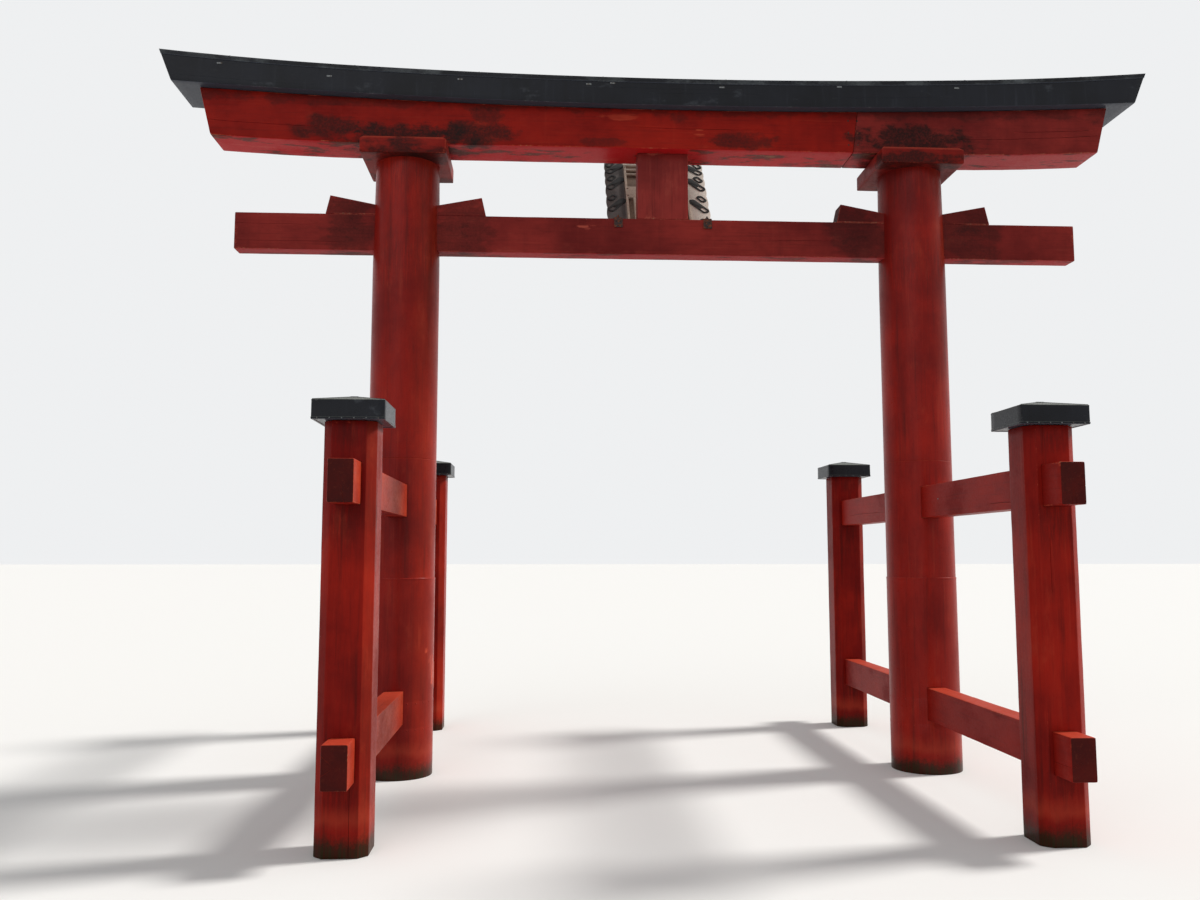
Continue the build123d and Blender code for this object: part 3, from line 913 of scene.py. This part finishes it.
def make_sun(name, azimuth, elevation, strength, spread, tint):
    """Distant lamp, in degrees. Azimuth counts from +Y towards +X."""
    lamp = bpy.data.lights.new(name, "SUN")
    lamp.energy = strength
    lamp.angle = math.radians(spread)
    lamp.color = tint
    azimuth, elevation = math.radians(azimuth), math.radians(elevation)
    level = math.cos(elevation)
    direction = Vector((math.sin(azimuth) * level, math.cos(azimuth) * level, math.sin(elevation)))
    add_object(name, lamp).rotation_euler = direction.to_track_quat("Z", "Y").to_euler()


scene.view_settings.view_transform = "Standard"
make_camera()
make_floor()
make_world(0.42)
make_sun("key", 76, 40, 3.3, 12, (1.0, 0.97, 0.93))
make_sun("fill", 205, 32, 0.45, 50, (0.95, 0.97, 1.0))

# Places of stains, worn spots, darker zones and painted shade, as (centre, radii, strength) rows
NEAR, FAR = -LINTEL_FACE, LINTEL_FACE
LINTEL_PATCHES = [
    ((-3.95, NEAR, 7.41), (0.42, 0.2, 0.13), 0.75),
    ((-3.03, NEAR, 7.33), (0.72, 0.3, 0.15), 0.9),
    ((-2.28, NEAR, 7.36), (0.45, 0.2, 0.15), 0.8),
    ((-2.09, NEAR, 7.60), (0.17, 0.2, 0.10), 0.6),
    ((-0.72, NEAR, 7.30), (0.24, 0.2, 0.05), 0.5),
    ((0.20, NEAR, 7.62), (0.12, 0.2, 0.11), 0.5),
    ((0.95, NEAR, 7.37), (0.34, 0.2, 0.10), 0.7),
    ((3.00, NEAR, 7.40), (0.75, 0.3, 0.17), 0.9),
    ((4.40, FAR, 7.50), (0.5, 0.2, 0.15), 0.7),
    ((-1.6, FAR, 7.42), (0.6, 0.2, 0.15), 0.7),
    ((1.9, FAR, 7.35), (0.5, 0.2, 0.13), 0.7),
    ((-4.7, FAR, 7.45), (0.4, 0.2, 0.12), 0.6),
    # Painted shade: the top of the lower lintel goes darker under the overhang of the upper
    # lintel.
    ((0.0, 0.0, 7.80), (6.5, 2.0, 0.13), 0.5),
    # Darker on the underside round each capital.
    ((-PILLAR_X, 0.0, LINTEL_UNDERSIDE), (0.66, 0.5, 0.07), 0.85),
    ((PILLAR_X, 0.0, LINTEL_UNDERSIDE), (0.62, 0.5, 0.07), 0.85),
]
LINTEL_SCUFFS = [
    ((0.42, NEAR, 7.43), (0.10, 0.2, 0.07), 0.6),
    ((-0.55, NEAR, 7.62), (0.22, 0.2, 0.04), 0.4),
    ((-3.0, NEAR, 7.27), (0.5, 0.2, 0.03), 0.5),
]
# The tie beam goes darker beside each pillar, under the wedges.
BEAM_PATCHES = [((side * PILLAR_X + way * 0.66, y, 6.30), (0.36, 0.2, 0.42), 0.5)
                for side in (-1, 1) for way in (-1, 1) for y in (-BEAM_FACE, BEAM_FACE)]
BEAM_SCUFFS = [
    ((-0.96, -BEAM_FACE, 6.325), (0.07, 0.1, 0.022), 0.8),
    ((-0.82, -BEAM_FACE, 6.340), (0.05, 0.1, 0.016), 0.8),
    ((-0.90, -BEAM_FACE, 6.292), (0.04, 0.1, 0.014), 0.6),
]
CAPITAL_PATCHES = [
    ((-3.12, -0.45, 7.08), (0.40, 0.3, 0.13), 0.85),
    ((-2.75, -0.45, 7.03), (0.25, 0.3, 0.09), 0.75),
    ((2.95, -0.45, 7.08), (0.50, 0.3, 0.11), 0.85),
    ((-PILLAR_X, 0.45, 7.08), (0.50, 0.3, 0.12), 0.7),
    ((PILLAR_X, 0.45, 7.10), (0.40, 0.3, 0.12), 0.7),
]
POST_RUNS = [((x, y, z), (0.20, 0.28, drop), 0.75)
             for x in (-PILLAR_X, PILLAR_X) for y in (-POST_Y, POST_Y)
             for z, drop in ((3.46, 0.16), (2.72, 0.40), (0.52, 0.22))]
# Dirt runs on the pillars below the capitals and the tie beam, partly painted shade there.
PILLAR_RUNS_AND_SHADE = [((x, 0.0, z), (0.42, 0.42, 0.5), 0.7)
               for x in (-PILLAR_X, PILLAR_X) for z in (6.9, 5.85)]
JACKET_SCUFFS = [
    ((-2.607, -0.04, 1.17), (0.12, 0.17, 0.15), 1.0),
    ((-2.675, -0.235, 1.375), (0.045, 0.05, 0.045), 0.9),
]

# Materials. Each draws its shift by chance, so their order matters.
red_pillar = red_paint("red_paint_pillar", 2, age=0.75, grime=0.55, foot=True, wear=0.5,
                       runs=PILLAR_RUNS_AND_SHADE, gloss=0.33, ior=1.22)
red_jacket = red_paint("red_paint_jacket", 2, age=0.4, grime=0.6, foot=True, wear=0.35,
                       flaking=0.7, scuffs=JACKET_SCUFFS, gloss=0.33, ior=1.22)
red_post = red_paint("red_paint_post", 2, age=0.85, grime=0.85, foot=True, wear=0.55,
                     runs=POST_RUNS, gloss=0.38)
red_tie = red_paint("red_paint_side_tie", 1, age=0.35, grime=0.45, end_grime=0.9, bleach_and_sunlight=0.5)
red_beam = red_paint("red_paint_tie_beam", 0, age=0.9, grime=0.6, end_grime=0.45, peeling_and_lit_underside=0.6,
                     flaking=0.7, patches=BEAM_PATCHES, scuffs=BEAM_SCUFFS, gloss=0.52,
                     tone=(0.94, 0.82))
red_lintel_left = red_paint("red_paint_lintel_left", 0, age=0.5, grime=0.45, flaking=0.8,
                            peeling_and_lit_underside=0.85, patches=LINTEL_PATCHES, scuffs=LINTEL_SCUFFS)
red_lintel_right = red_paint("red_paint_lintel_right", 0, age=0.95, grime=0.6, flaking=0.8,
                             peeling_and_lit_underside=0.9, patches=LINTEL_PATCHES, tone=(0.94, 0.82))
red_capital = red_paint("red_paint_capital", 0, age=0.85, grime=0.8, wear=0.62,
                        patches=CAPITAL_PATCHES, tone=(0.98, 0.82))
red_strut = red_paint("red_paint_strut", 2, age=0.9, grime=0.5, tone=(0.92, 0.88))
black_lintel = black_paint("black_paint_lintel", 0, 0.35)
black_cover = black_paint("black_cover_sheet", 0, 0.6, wear_and_glints=True)
black_cap = black_paint("black_cap_sheet", 1, 0.4, dust=0.8, gloss=0.3)
dark_iron = iron("dark_iron", colour(46, 34, 32), colour(112, 58, 34))
pale_metal = iron("pale_metal", colour(112, 115, 116), colour(82, 74, 68))
panel_board = old_board("panel_board", 2, colour(128, 108, 92), colour(64, 48, 42), 0.25)
batten_board = old_board("batten_board", 2, colour(196, 180, 164), colour(128, 108, 94))
wing_board = old_board("wing_board", 2, colour(232, 226, 215), colour(192, 181, 170), 0.2, 0.95)
trim_board = old_board("trim_board", 0, colour(226, 218, 206), colour(184, 172, 160), 0.2)
scroll_board = old_board("scroll_board", 0, colour(34, 29, 28), colour(16, 14, 15), 0.0)


def make_pillars():
    """Shafts that draw in towards the neck, with a seam, and mortises for ties and beam."""
    neck, shoulder = 0.371, 5.8
    beam_low, beam_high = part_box("tie_beam")
    roof = beam_high[2] + WEDGE_FOOT + MORTISE_GAP
    ends = roof + (WEDGE_HEIGHT - WEDGE_FOOT) / WEDGE_REACH * CUT_REACH
    floor = beam_low[2] - MORTISE_GAP
    section = [(-CUT_REACH, floor), (CUT_REACH, floor), (CUT_REACH, ends), (0.0, roof),
               (-CUT_REACH, ends)]
    for side, sign in SIDES.items():
        low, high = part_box(f"pillar_{side}")
        centre = [(a + b) / 2 for a, b in zip(low, high)]
        wide, top = (high[0] - low[0]) / 2, high[2]
        levels = [0.0, 0.004, top - 0.012, top] + [0.15 * n for n in range(1, 47)]
        levels += [SEAM_HEIGHT + offset for offset in (-0.004, -0.001, 0.001, 0.004)]
        profile = []
        for level in sorted(levels):
            radius = wide + (neck - wide) * max(0.0, level - shoulder) / (top - shoulder)
            in_seam = abs(level - SEAM_HEIGHT) < 0.002
            if in_seam:
                radius -= 0.003
            if level == 0.0:
                radius -= 0.004
            profile.append((radius, level, 0.5 if in_seam else 0.0))
        mesh = turned(profile, centre, 0.0012, 7.0 + sign)
        piece = publish(f"pillar_{side}_shaft", mesh, red_pillar, "red_timber", f"pillar_{side}")
        for tie in (f"side_tie_upper_{side}", f"side_tie_lower_{side}"):
            carve(piece, mortise(tie, -CUT_REACH, CUT_REACH))
        points = [(centre[0] + x, y, z)
                  for y in (beam_low[1] - MORTISE_GAP, beam_high[1] + MORTISE_GAP)
                  for x, z in section]
        faces = [(0, 1, 2, 3, 4), (9, 8, 7, 6, 5)]
        faces += [(n, n + 5, (n + 1) % 5 + 5, (n + 1) % 5) for n in range(5)]
        tool = new_mesh(points, faces)
        settle(tool)
        carve(piece, tool)


def make_jackets():
    """Jackets in three lapped courses, with a rolled lip on top and nails along the laps."""
    for side, sign in SIDES.items():
        low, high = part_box(f"pillar_jacket_{side}")
        centre = [(a + b) / 2 for a, b in zip(low, high)]
        outer, top = (high[0] - low[0]) / 2, high[2]
        inner, lap, nails = outer - 0.0068, 0.0012, 24
        laps = (0.549, 0.835)
        profile = [(inner, 0.0, 0.0), (outer - 0.001, 0.0, 0.6)]
        for course, (start, end) in enumerate(zip((0.0, *laps), (*laps, top))):
            radius = outer - lap * course
            steps = max(2, round((end - start) / 0.15))
            profile.append((radius, start + 0.003, 0.4))
            profile += [(radius, start + (end - start) * n / steps, 0.0) for n in range(1, steps)]
            if end < top:
                profile += [(radius, end - 0.003, 0.7), (radius - 0.001, end, 0.7)]
        profile += [
            (outer - 2 * lap, top - 0.022, 0.2), (outer - 0.0005, top - 0.019, 0.7),
            (outer, top - 0.012, 0.9), (outer - 0.0003, top - 0.004, 1.0),
            (outer - 0.003, top, 1.0), (inner, top, 0.4),
        ]
        mesh = turned(profile, centre, 0.0004, 3.0 + sign, closed=True)
        piece = publish(f"pillar_jacket_{side}_courses", mesh, red_jacket, "red_jacket",
                        f"pillar_jacket_{side}")
        carve(piece, mortise(f"side_tie_lower_{side}", -CUT_REACH, CUT_REACH))
        places = []
        for level in laps:
            for spot in range(nails):
                angle = 2 * math.pi * (spot + 0.5) / nails
                x, y = math.cos(angle), math.sin(angle)
                if abs(x) < 0.32 and level > 0.6:
                    continue  # the lower side tie passes here
                radius = outer - 0.0015
                places.append(((centre[0] + radius * x, radius * y, level - 0.02), (x, y, 0.0)))
        studs(f"jacket_nails_{side}", places, 0.007, 0.004, red_jacket, "red_jacket")


def square_rings(centre, levels, points_per_side, size, depth, chips, share):
    """Rings of a square block from (height, half width, arris) rows, and their marks.

    size and depth are those of its dents, chips the depth of those on its arrises, and share
    how far its arrises count as worn.
    """
    seed = chance.uniform(0, 50)
    rings, arrises = [], []
    for level, half, edge in levels:
        ring = []
        rounding = min(0.008, half * 0.4)
        spacing = (2 * half - 2 * rounding) / (points_per_side - 1)
        for spot, outward, _, arris, _ in outline(half, half, 0.0, rounding, spacing,
                                                  bordered=False):
            point = Vector((centre.x + spot.x, centre.y + spot.y, level))
            short = ripple(point, size, depth, seed)
            short += chips * arris * ripple(point, 0.08, 1.0, seed + 3)
            ring.append((point.x - outward.x * short, point.y - outward.y * short, level))
            arrises.append(max(arris * share, edge))
        rings.append(ring)
    return rings, {"arris": arrises}


def rim(base, half, rows):
    """(height, half width, arris) rows of a block from (rise, inset, arris) rows."""
    return [(base + up, half - inset, arris) for up, inset, arris in rows]


def make_capitals():
    """Square plates with a chamfer on top and worn corners."""
    for side in SIDES:
        low, high = [Vector(corner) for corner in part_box(f"capital_{side}")]
        half = (high.x - low.x) / 2
        third = (high.z - 0.035 - low.z - 0.010) / 3
        levels = rim(low.z, half, ((0, 0.010, 0.8), (0.003, 0.003, 1.0), (0.010, 0, 0.7)))
        levels += rim(low.z + 0.010, half, ((third, 0, 0.0), (2 * third, 0, 0.0)))
        levels += rim(high.z, half, ((-0.040, 0, 0.8), (-0.033, 0.003, 1.0),
                                     (-0.004, 0.031, 0.9), (0, 0.036, 0.9)))
        mesh = skin(*square_rings((low + high) / 2, levels, 12, 0.3, 0.003, 0.005, 1.0))
        publish(f"capital_{side}_plate", mesh, red_capital, "red_timber", f"capital_{side}")


def make_post_cap(node):
    """Sheet-clad cap: folded hem, upright sides, low pyramid with standing hips, and nails."""
    low, high = [Vector(corner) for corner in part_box(node)]
    half, hem = (high.x - low.x) / 2, low.z
    centre = (low + high) / 2
    shoulder, tip = hem + 0.171, high.z - 0.004
    levels = rim(hem, half, (
        (0.004, 0.024, 0.0), (0, 0.020, 0.5), (0, 0.004, 0.9), (0.004, 0, 1.0), (0.018, 0, 0.7),
        (0.021, 0.0025, 0.4), (0.09, 0.003, 0.0)))
    levels += rim(shoulder, half, (
        (-0.020, 0.003, 0.2), (-0.006, 0.002, 0.9), (-0.001, 0.006, 1.0)))
    levels += [(shoulder + (tip - shoulder) * 0.5, half * 0.52, 0.0), (tip, 0.018, 0.6)]
    mesh = skin(*square_rings(centre, levels, 9, 0.25, 0.0016, 0.0, 0.9), angle=24)
    publish(f"{node}_sheet", mesh, black_cap, "cap_sheet", node)
    hips = []
    corner = half - 0.012
    for a, b in ((-1, -1), (-1, 1), (1, -1), (1, 1)):
        start = Vector((centre.x + a * corner, centre.y + b * corner, shoulder - 0.003))
        end = Vector((centre.x + a * 0.012, centre.y + b * 0.012, tip - 0.001))
        bar = bevelled_box((-0.006, -0.004, 0.0), (0.006, 0.006, (end - start).length), 0.002)
        turn = (end - start).to_track_quat("Z", "Y").to_matrix().to_4x4()
        turn.translation = start
        bar.transform(turn)
        hips.append(bar)
    hips.append(bevelled_box((centre.x - 0.034, centre.y - 0.034, tip - 0.010),
                             (centre.x + 0.034, centre.y + 0.034, tip + 0.0035), 0.003))
    assemble(f"{node}_hips", hips, black_cap, "cap_sheet")
    places = []
    reach, level = half - 0.0005, hem + 0.011
    count, pitch = 6, 0.102
    for spot in range(count):
        offset = (spot - (count - 1) / 2) * pitch
        for way in (-1, 1):
            places.append(((centre.x + offset, centre.y + way * reach, level), (0, way, 0)))
            places.append(((centre.x + way * reach, centre.y + offset, level), (way, 0, 0)))
    studs(f"{node}_nails", places, 0.0055, 0.003, pale_metal, "cap_sheet")


def make_posts():
    for row in ROWS:
        for side in SIDES:
            node = f"post_{row}_{side}"
            low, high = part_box(node)
            cuts = [mortise(f"side_tie_{level}_{side}", low[1] - 0.1, high[1] + 0.1)
                    for level in ("upper", "lower")]
            timber(node, 2, red_post, chamfer=0.078, rounding=0.006, checks=7, cuts=cuts)


def make_ties():
    for side in SIDES:
        for level in ("upper", "lower"):
            timber(f"side_tie_{level}_{side}", 1, red_tie, checks=9, spacing=0.055)
    studs("side_tie_pin", [((2.9275, -0.884, 3.060), (-1, 0, 0))], 0.010, 0.006, pale_metal,
          "iron")


def make_upper_woodwork():
    """Tie beam, strut, wedges and the two lintels, with nails at the splice."""
    timber("tie_beam", 0, red_beam, rounding=0.008, checks=12)
    timber("centre_strut", 2, red_strut, step=0.1)
    for side, sign in SIDES.items():
        make_wedge(f"wedge_{side}_outer", sign * PILLAR_X, sign)
        make_wedge(f"wedge_{side}_inner", sign * PILLAR_X, -sign)
    lower = (LOWER_FOOT_REACH, LOWER_TOP_REACH, belly, seat, 2 * LINTEL_FACE)
    long_lintel("lower_lintel_left", red_lintel_left, "red_timber",
                -LOWER_FOOT_REACH, SPLICE - 0.002, *lower)
    long_lintel("lower_lintel_right", red_lintel_right, "red_timber",
                SPLICE + 0.002, LOWER_FOOT_REACH, *lower, checks=4)
    long_lintel("upper_lintel", black_lintel, "black_timber", -UPPER_FOOT_REACH, UPPER_FOOT_REACH,
                UPPER_FOOT_REACH, UPPER_TOP_REACH, lambda x: seat(x) + 0.0004, crown,
                UPPER_DEPTH)
    places = [((SPLICE + offset, way * (LINTEL_FACE - 0.0015), level), (0, way, 0))
              for way in (-1, 1) for offset in (-0.055, 0.055) for level in (7.33, 7.48, 7.63)]
    studs("splice_nails", places, 0.011, 0.006, dark_iron, "iron")


def make_wedge(node, x, way):
    """Driven wedge with softened arrises, seated on the tie beam."""
    low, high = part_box(node)
    section = [(0.03, 0.0), (0.935, 0.0), (WEDGE_REACH, WEDGE_HEIGHT), (0.03, 0.053796)]
    points = [(x + way * place, y, low[2] + level) for y in (low[1], high[1])
              for place, level in section]
    mesh = new_mesh(points, ring_quads(0, 4, 4) + [(3, 2, 1, 0), (4, 5, 6, 7)])
    with editing(mesh) as work:
        round_edges(work, 0.006)
        edge_count = len(work.verts)
        wide = [face for face in work.faces if face.calc_area() > 0.01 * face.calc_perimeter()]
        bmesh.ops.inset_individual(work, faces=wide, thickness=0.013)
    settle(mesh)
    arrises = [1.0 if vertex.index < edge_count else 0.0 for vertex in mesh.vertices]
    set_attribute(mesh, "arris", arrises)
    publish(f"{node}_timber", mesh, red_beam, "red_timber", node)


def cover_ring(outer, ceiling, raised):
    """Section of the cover as (y, height over the lintel's top line, arris) rows.

    raised is how high a seam stands here.
    """
    inner = outer - 0.0078
    edge, lip, gable, roll = 0.030, 0.030, 0.058, 0.014
    ridge = edge + gable * 0.94
    half = outer - 0.0025 + min(raised, 0.0024)
    right = [
        (inner + 0.001, 0.004 - lip, 0.5), (outer - 0.006, -lip, 0.9), (outer, 0.005 - lip, 1.0),
        (outer - 0.001, 0.013 - lip, 0.6), (half - 0.001, 0.018 - lip, 0.2), (half, 0.0, 0.0),
        (half, edge - 0.008, 0.3), (half - 0.002, edge - 0.002, 1.0),
        (half - 0.008, edge + 0.001 + 0.2 * raised, 0.8),
    ]
    right += [(half * share, edge + raised + gable * (1 - share), 0.0)
              for share in (0.9, 0.7, 0.5, 0.3, 0.12)]
    right += [(0.036, ridge, 0.4), (0.030, ridge + roll * 0.7, 0.9), (0.014, ridge + roll, 0.8)]
    right = [(y, min(z, ceiling), mark) for y, z, mark in right]
    turned_down = 5
    bare = len(right) - turned_down
    reach = inner - 0.0005
    under = [(reach, (0.006 - lip) * (1 - n / turned_down), 0.0) for n in range(turned_down)]
    under += [(reach * (1 - n / bare), 0.0, 0.0) for n in range(bare)]
    return (right + [(-y, z, mark) for y, z, mark in reversed(right)]
            + [(-y, z, mark) for y, z, mark in under] + under[::-1])


def make_cover():
    """Sheet cover: turned-down edges, low gable, ridge roll and raised seams across."""
    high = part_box("lintel_cover")[1]
    seams = [-5.05, -3.62, -2.18, -0.73, 0.73, 2.18, 3.62, 5.05]
    foot, crest, steps = 0.010, 0.008, 46
    top = crown(UPPER_TOP_REACH)
    lean = (UPPER_TOP_REACH - UPPER_FOOT_REACH) / (top - seat(UPPER_FOOT_REACH))
    places = [UPPER_TOP_REACH * n / steps for n in range(-steps, steps + 1)]
    for seam in seams:
        places = [place for place in places if abs(place - seam) > 3 * foot]
        places += [seam - foot, seam - crest, seam + crest, seam + foot]
    points, arrises, wear_and_glint_levels = [], [], []
    for place in sorted(places):
        raised = 0.007 if any(abs(place - seam) < (foot + crest) / 2 for seam in seams) else 0.0
        level = crown(place) + 0.0003
        bend = math.copysign((abs(place) / UPPER_TOP_REACH) ** 6 * lean, place)
        for y, z, mark in cover_ring(high[1], high[2] - top - 0.001, raised):
            x = place + bend * z
            dent = ripple((x, 0.0, z * 3), 0.3, 0.0012, 21.0) if mark > 0 or z > 0 else 0.0
            inward = math.copysign(dent, y) if abs(y) > 0.05 else 0.0
            points.append((x, y - inward, level + z - dent * 0.5))
            arrises.append(mark)
            # Pale mottling, most along the upper edges of the near and far faces: wear, and
            # painted glints.
            wear_and_glint_levels.append(1.0 if z > -0.02 and abs(y) > 0.3 else 0.6)
    rows = len(places)
    count = len(points) // rows
    faces = tube_quads(rows, count)
    for end, way in ((0, -1), ((rows - 1) * count, 1)):
        faces += [(end + n, end + n + 1, end + count - 2 - n, end + count - 1 - n)[::way]
                  for n in range(count // 2 - 1)]
    mesh = new_mesh(points, faces)
    set_attribute(mesh, "arris", arrises)
    set_attribute(mesh, "wear_and_glints", wear_and_glint_levels)
    settle(mesh, 26)
    publish("lintel_cover_sheet", mesh, black_cover, "cover_sheet", "lintel_cover")


def make_clips():
    """Clips of the cover, where the photograph shows them, and the same on the far side."""
    clips = []
    back = UPPER_DEPTH / 2 - 0.0035
    for x, drop in ((-5.169, 0.071), (-3.913, 0.121), (-2.401, 0.070), (-0.898, 0.066),
                    (-0.615, 0.045), (0.680, 0.066), (2.091, 0.046), (3.517, 0.067)):
        for place, way in ((x, -1), (x + 0.11, 1)):
            clip = bevelled_box((-0.030, 0.0, -0.009), (0.030, 0.006, 0.009), 0.0012)
            clip.transform(Matrix.Translation((place, back, crown(place) - drop)))
            clip.transform(Matrix.Diagonal((1, way, 1, 1)))
            clips.append(clip)
    assemble("lintel_clips", clips, pale_metal, "iron")


def wing_outline():
    """Outline of one wing board in the plaque's plane: scrolled outer edge, straight inner."""
    inner, outer, scallop, steps = 0.3953, 0.6273, 0.015, 10
    tips = (0.110, 0.341, 0.589, 0.824, 1.038, 1.200, 1.372)
    valleys = [(low + high) / 2 for low, high in zip(tips, tips[1:])]
    points = []
    for start, tip, end in zip([0.0] + valleys, tips, valleys + [PLAQUE_LENGTH]):
        for n in range(steps):
            place = start + (end - start) * n / steps
            reach = (place - start) / (tip - start) if place < tip else (end - place) / (end - tip)
            swell = math.sin(math.pi / 2 * max(0.0, reach)) ** 0.8
            points.append((outer + scallop * swell, place))
    return points + [(outer, PLAQUE_LENGTH), (inner, PLAQUE_LENGTH), (inner, 0.0)]


def slot_outline(start, end, width):
    """Long outline with round ends between two points."""
    along = (end - start).normalized()
    across = Vector((-along.y, along.x))
    points, steps = [], 8
    for centre, turn in ((end, 0.0), (start, math.pi)):
        for n in range(steps + 1):
            angle = turn - math.pi / 2 + math.pi * n / steps
            way = along * math.cos(angle) + across * math.sin(angle)
            points.append(tuple(centre + way * width / 2))
    return points


def scrolls(low, high):
    """Raised scrolls of one face of a wing: three long ones with an eye, and four rings."""
    plates = []
    for start, end in (((0.44, 1.372), (0.600, 1.215)), ((0.44, 1.055), (0.600, 0.846)),
                       ((0.44, 0.580), (0.600, 0.365))):
        start, end = Vector(start), Vector(end)
        eye = start + (end - start) * 0.80
        along = (end - start).normalized()
        bar = slot_outline(start, end - along * 0.03, 0.102)
        hole = slot_outline(eye - along * 0.024, eye + along * 0.018, 0.046)
        plates.append(plate([bar, hole], low, high, 0.0025))
    along = Vector((0.55, -0.83))
    for middle in ((0.557, 1.082), (0.561, 0.644), (0.57, 1.401), (0.557, 0.150)):
        centre = Vector(middle)
        ring = slot_outline(centre - along * 0.034, centre + along * 0.034, 0.088)
        hole = slot_outline(centre - along * 0.020, centre + along * 0.020, 0.040)
        plates.append(plate([ring, hole], low, high, 0.0025))
    return plates


def make_plaque():
    """The plaque, made in its own plane: x across, y up the lean, z out of its front."""
    up = Vector((0, math.sin(PLAQUE_LEAN), math.cos(PLAQUE_LEAN)))
    out = Vector((0, math.cos(PLAQUE_LEAN), -math.sin(PLAQUE_LEAN)))
    turn = Matrix((Vector((-1, 0, 0)), up, out)).transposed().to_4x4()
    turn.translation = Vector(PLAQUE_FOOT)

    def fit(node, piece, meshes, material, slot):
        assemble(f"{node}_{piece}", meshes, material, slot, node, turn=turn)

    for side, sign in SIDES.items():
        wing_turn = turn @ Matrix.Diagonal((-sign, 1, 1, 1))
        board = plate([wing_outline()], 0.0, PLAQUE_THICK, 0.003)
        assemble(f"plaque_wing_{side}_board", [board], wing_board, "plaque_trim",
                 f"plaque_wing_{side}", turn=wing_turn)
        raised = scrolls(-0.006, 0.003) + scrolls(PLAQUE_THICK - 0.003, PLAQUE_THICK + 0.006)
        assemble(f"plaque_scrolls_{side}", raised, scroll_board, "plaque_trim", turn=wing_turn)

    sill, head = 0.190, PLAQUE_LENGTH - 0.230
    edges = (-PANEL_HALF, -0.241, -0.082, 0.083, 0.238, PANEL_HALF)
    boards = [bevelled_box((left + 0.001, sill + 0.0003, 0.0),
                           (right - 0.001, head - 0.0003, 0.025), 0.003)
              for left, right in zip(edges, edges[1:])]
    fit("plaque_panel", "boards", boards, panel_board, "plaque_board")
    board = bevelled_box((-PANEL_HALF, 0.0, 0.0), (PANEL_HALF, sill, PLAQUE_THICK), 0.004)
    fit("plaque_sill", "board", [board], trim_board, "plaque_trim")
    arch_rise, steps = 0.06, 24
    radius = (PANEL_HALF**2 + arch_rise**2) / (2 * arch_rise)
    arch = [(-PANEL_HALF, head), (PANEL_HALF, head)]
    for n in range(steps + 1):
        x = PANEL_HALF - 2 * PANEL_HALF * n / steps
        arch.append((x, PLAQUE_LENGTH + arch_rise - rise(x, radius)))
    board = plate([arch], 0.0, PLAQUE_THICK, 0.003)
    fit("plaque_head", "board", [board], trim_board, "plaque_trim")

    rails = [bevelled_box((-PANEL_HALF, start, -0.0253), (PANEL_HALF, start + height, -0.0003),
                          0.003)
             for start, height in ((0.622, 0.243), (1.138, 0.034), (1.236, 0.034), (1.334, 0.034))]
    rails += [bevelled_box((x - 0.015, 0.15, back), (x + 0.015, end, -0.0006), 0.003)
              for way in (-1, 1)
              for x, back, end in ((way * 0.288, -0.0250, 0.622), (way * 0.380, -0.0248, 1.368))]
    assemble("plaque_rail_battens", rails, batten_board, "plaque_board", "plaque_rails",
             turn=turn)
    back = turn.to_3x3() @ Vector((0, 0, -1))
    places = [(turn @ Vector((x, y, -0.0253)), back)
              for x in (-0.365, -0.12, 0.12, 0.365) for y in (0.665, 0.820)]
    studs("plaque_rail_nails", places, 0.011, 0.005, dark_iron, "iron")


def dress_ironwork():
    """Finish of the CAD hooks and stays, and the hooks' bolts and screws."""
    places, screws = [], []
    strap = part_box("tie_beam")[1][2] + 0.0123
    for side in SIDES:
        for node in (f"plaque_hook_{side}", f"plaque_stay_{side}"):
            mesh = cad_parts[node].data
            mesh.materials.clear()
            mesh.materials.append(dark_iron)
        low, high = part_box(f"plaque_hook_{side}")
        x = (low[0] + high[0]) / 2
        places += [((x + offset, low[1], level), (0, -1, 0))
                   for offset, level in ((-0.025, 6.395), (0.025, 6.395), (0.0, 6.345))]
        screws += [hexagon_screw((x, y, strap)) for y in (-0.075, 0.055)]
    studs("hook_bolts", places, 0.012, 0.008, dark_iron, "iron")
    assemble("hook_screws", screws, dark_iron, "iron")


make_pillars()
make_jackets()
make_capitals()
make_posts()
for row in ROWS:
    for side in SIDES:
        make_post_cap(f"post_cap_{row}_{side}")
make_ties()
make_upper_woodwork()
make_cover()
make_clips()
make_plaque()
dress_ironwork()
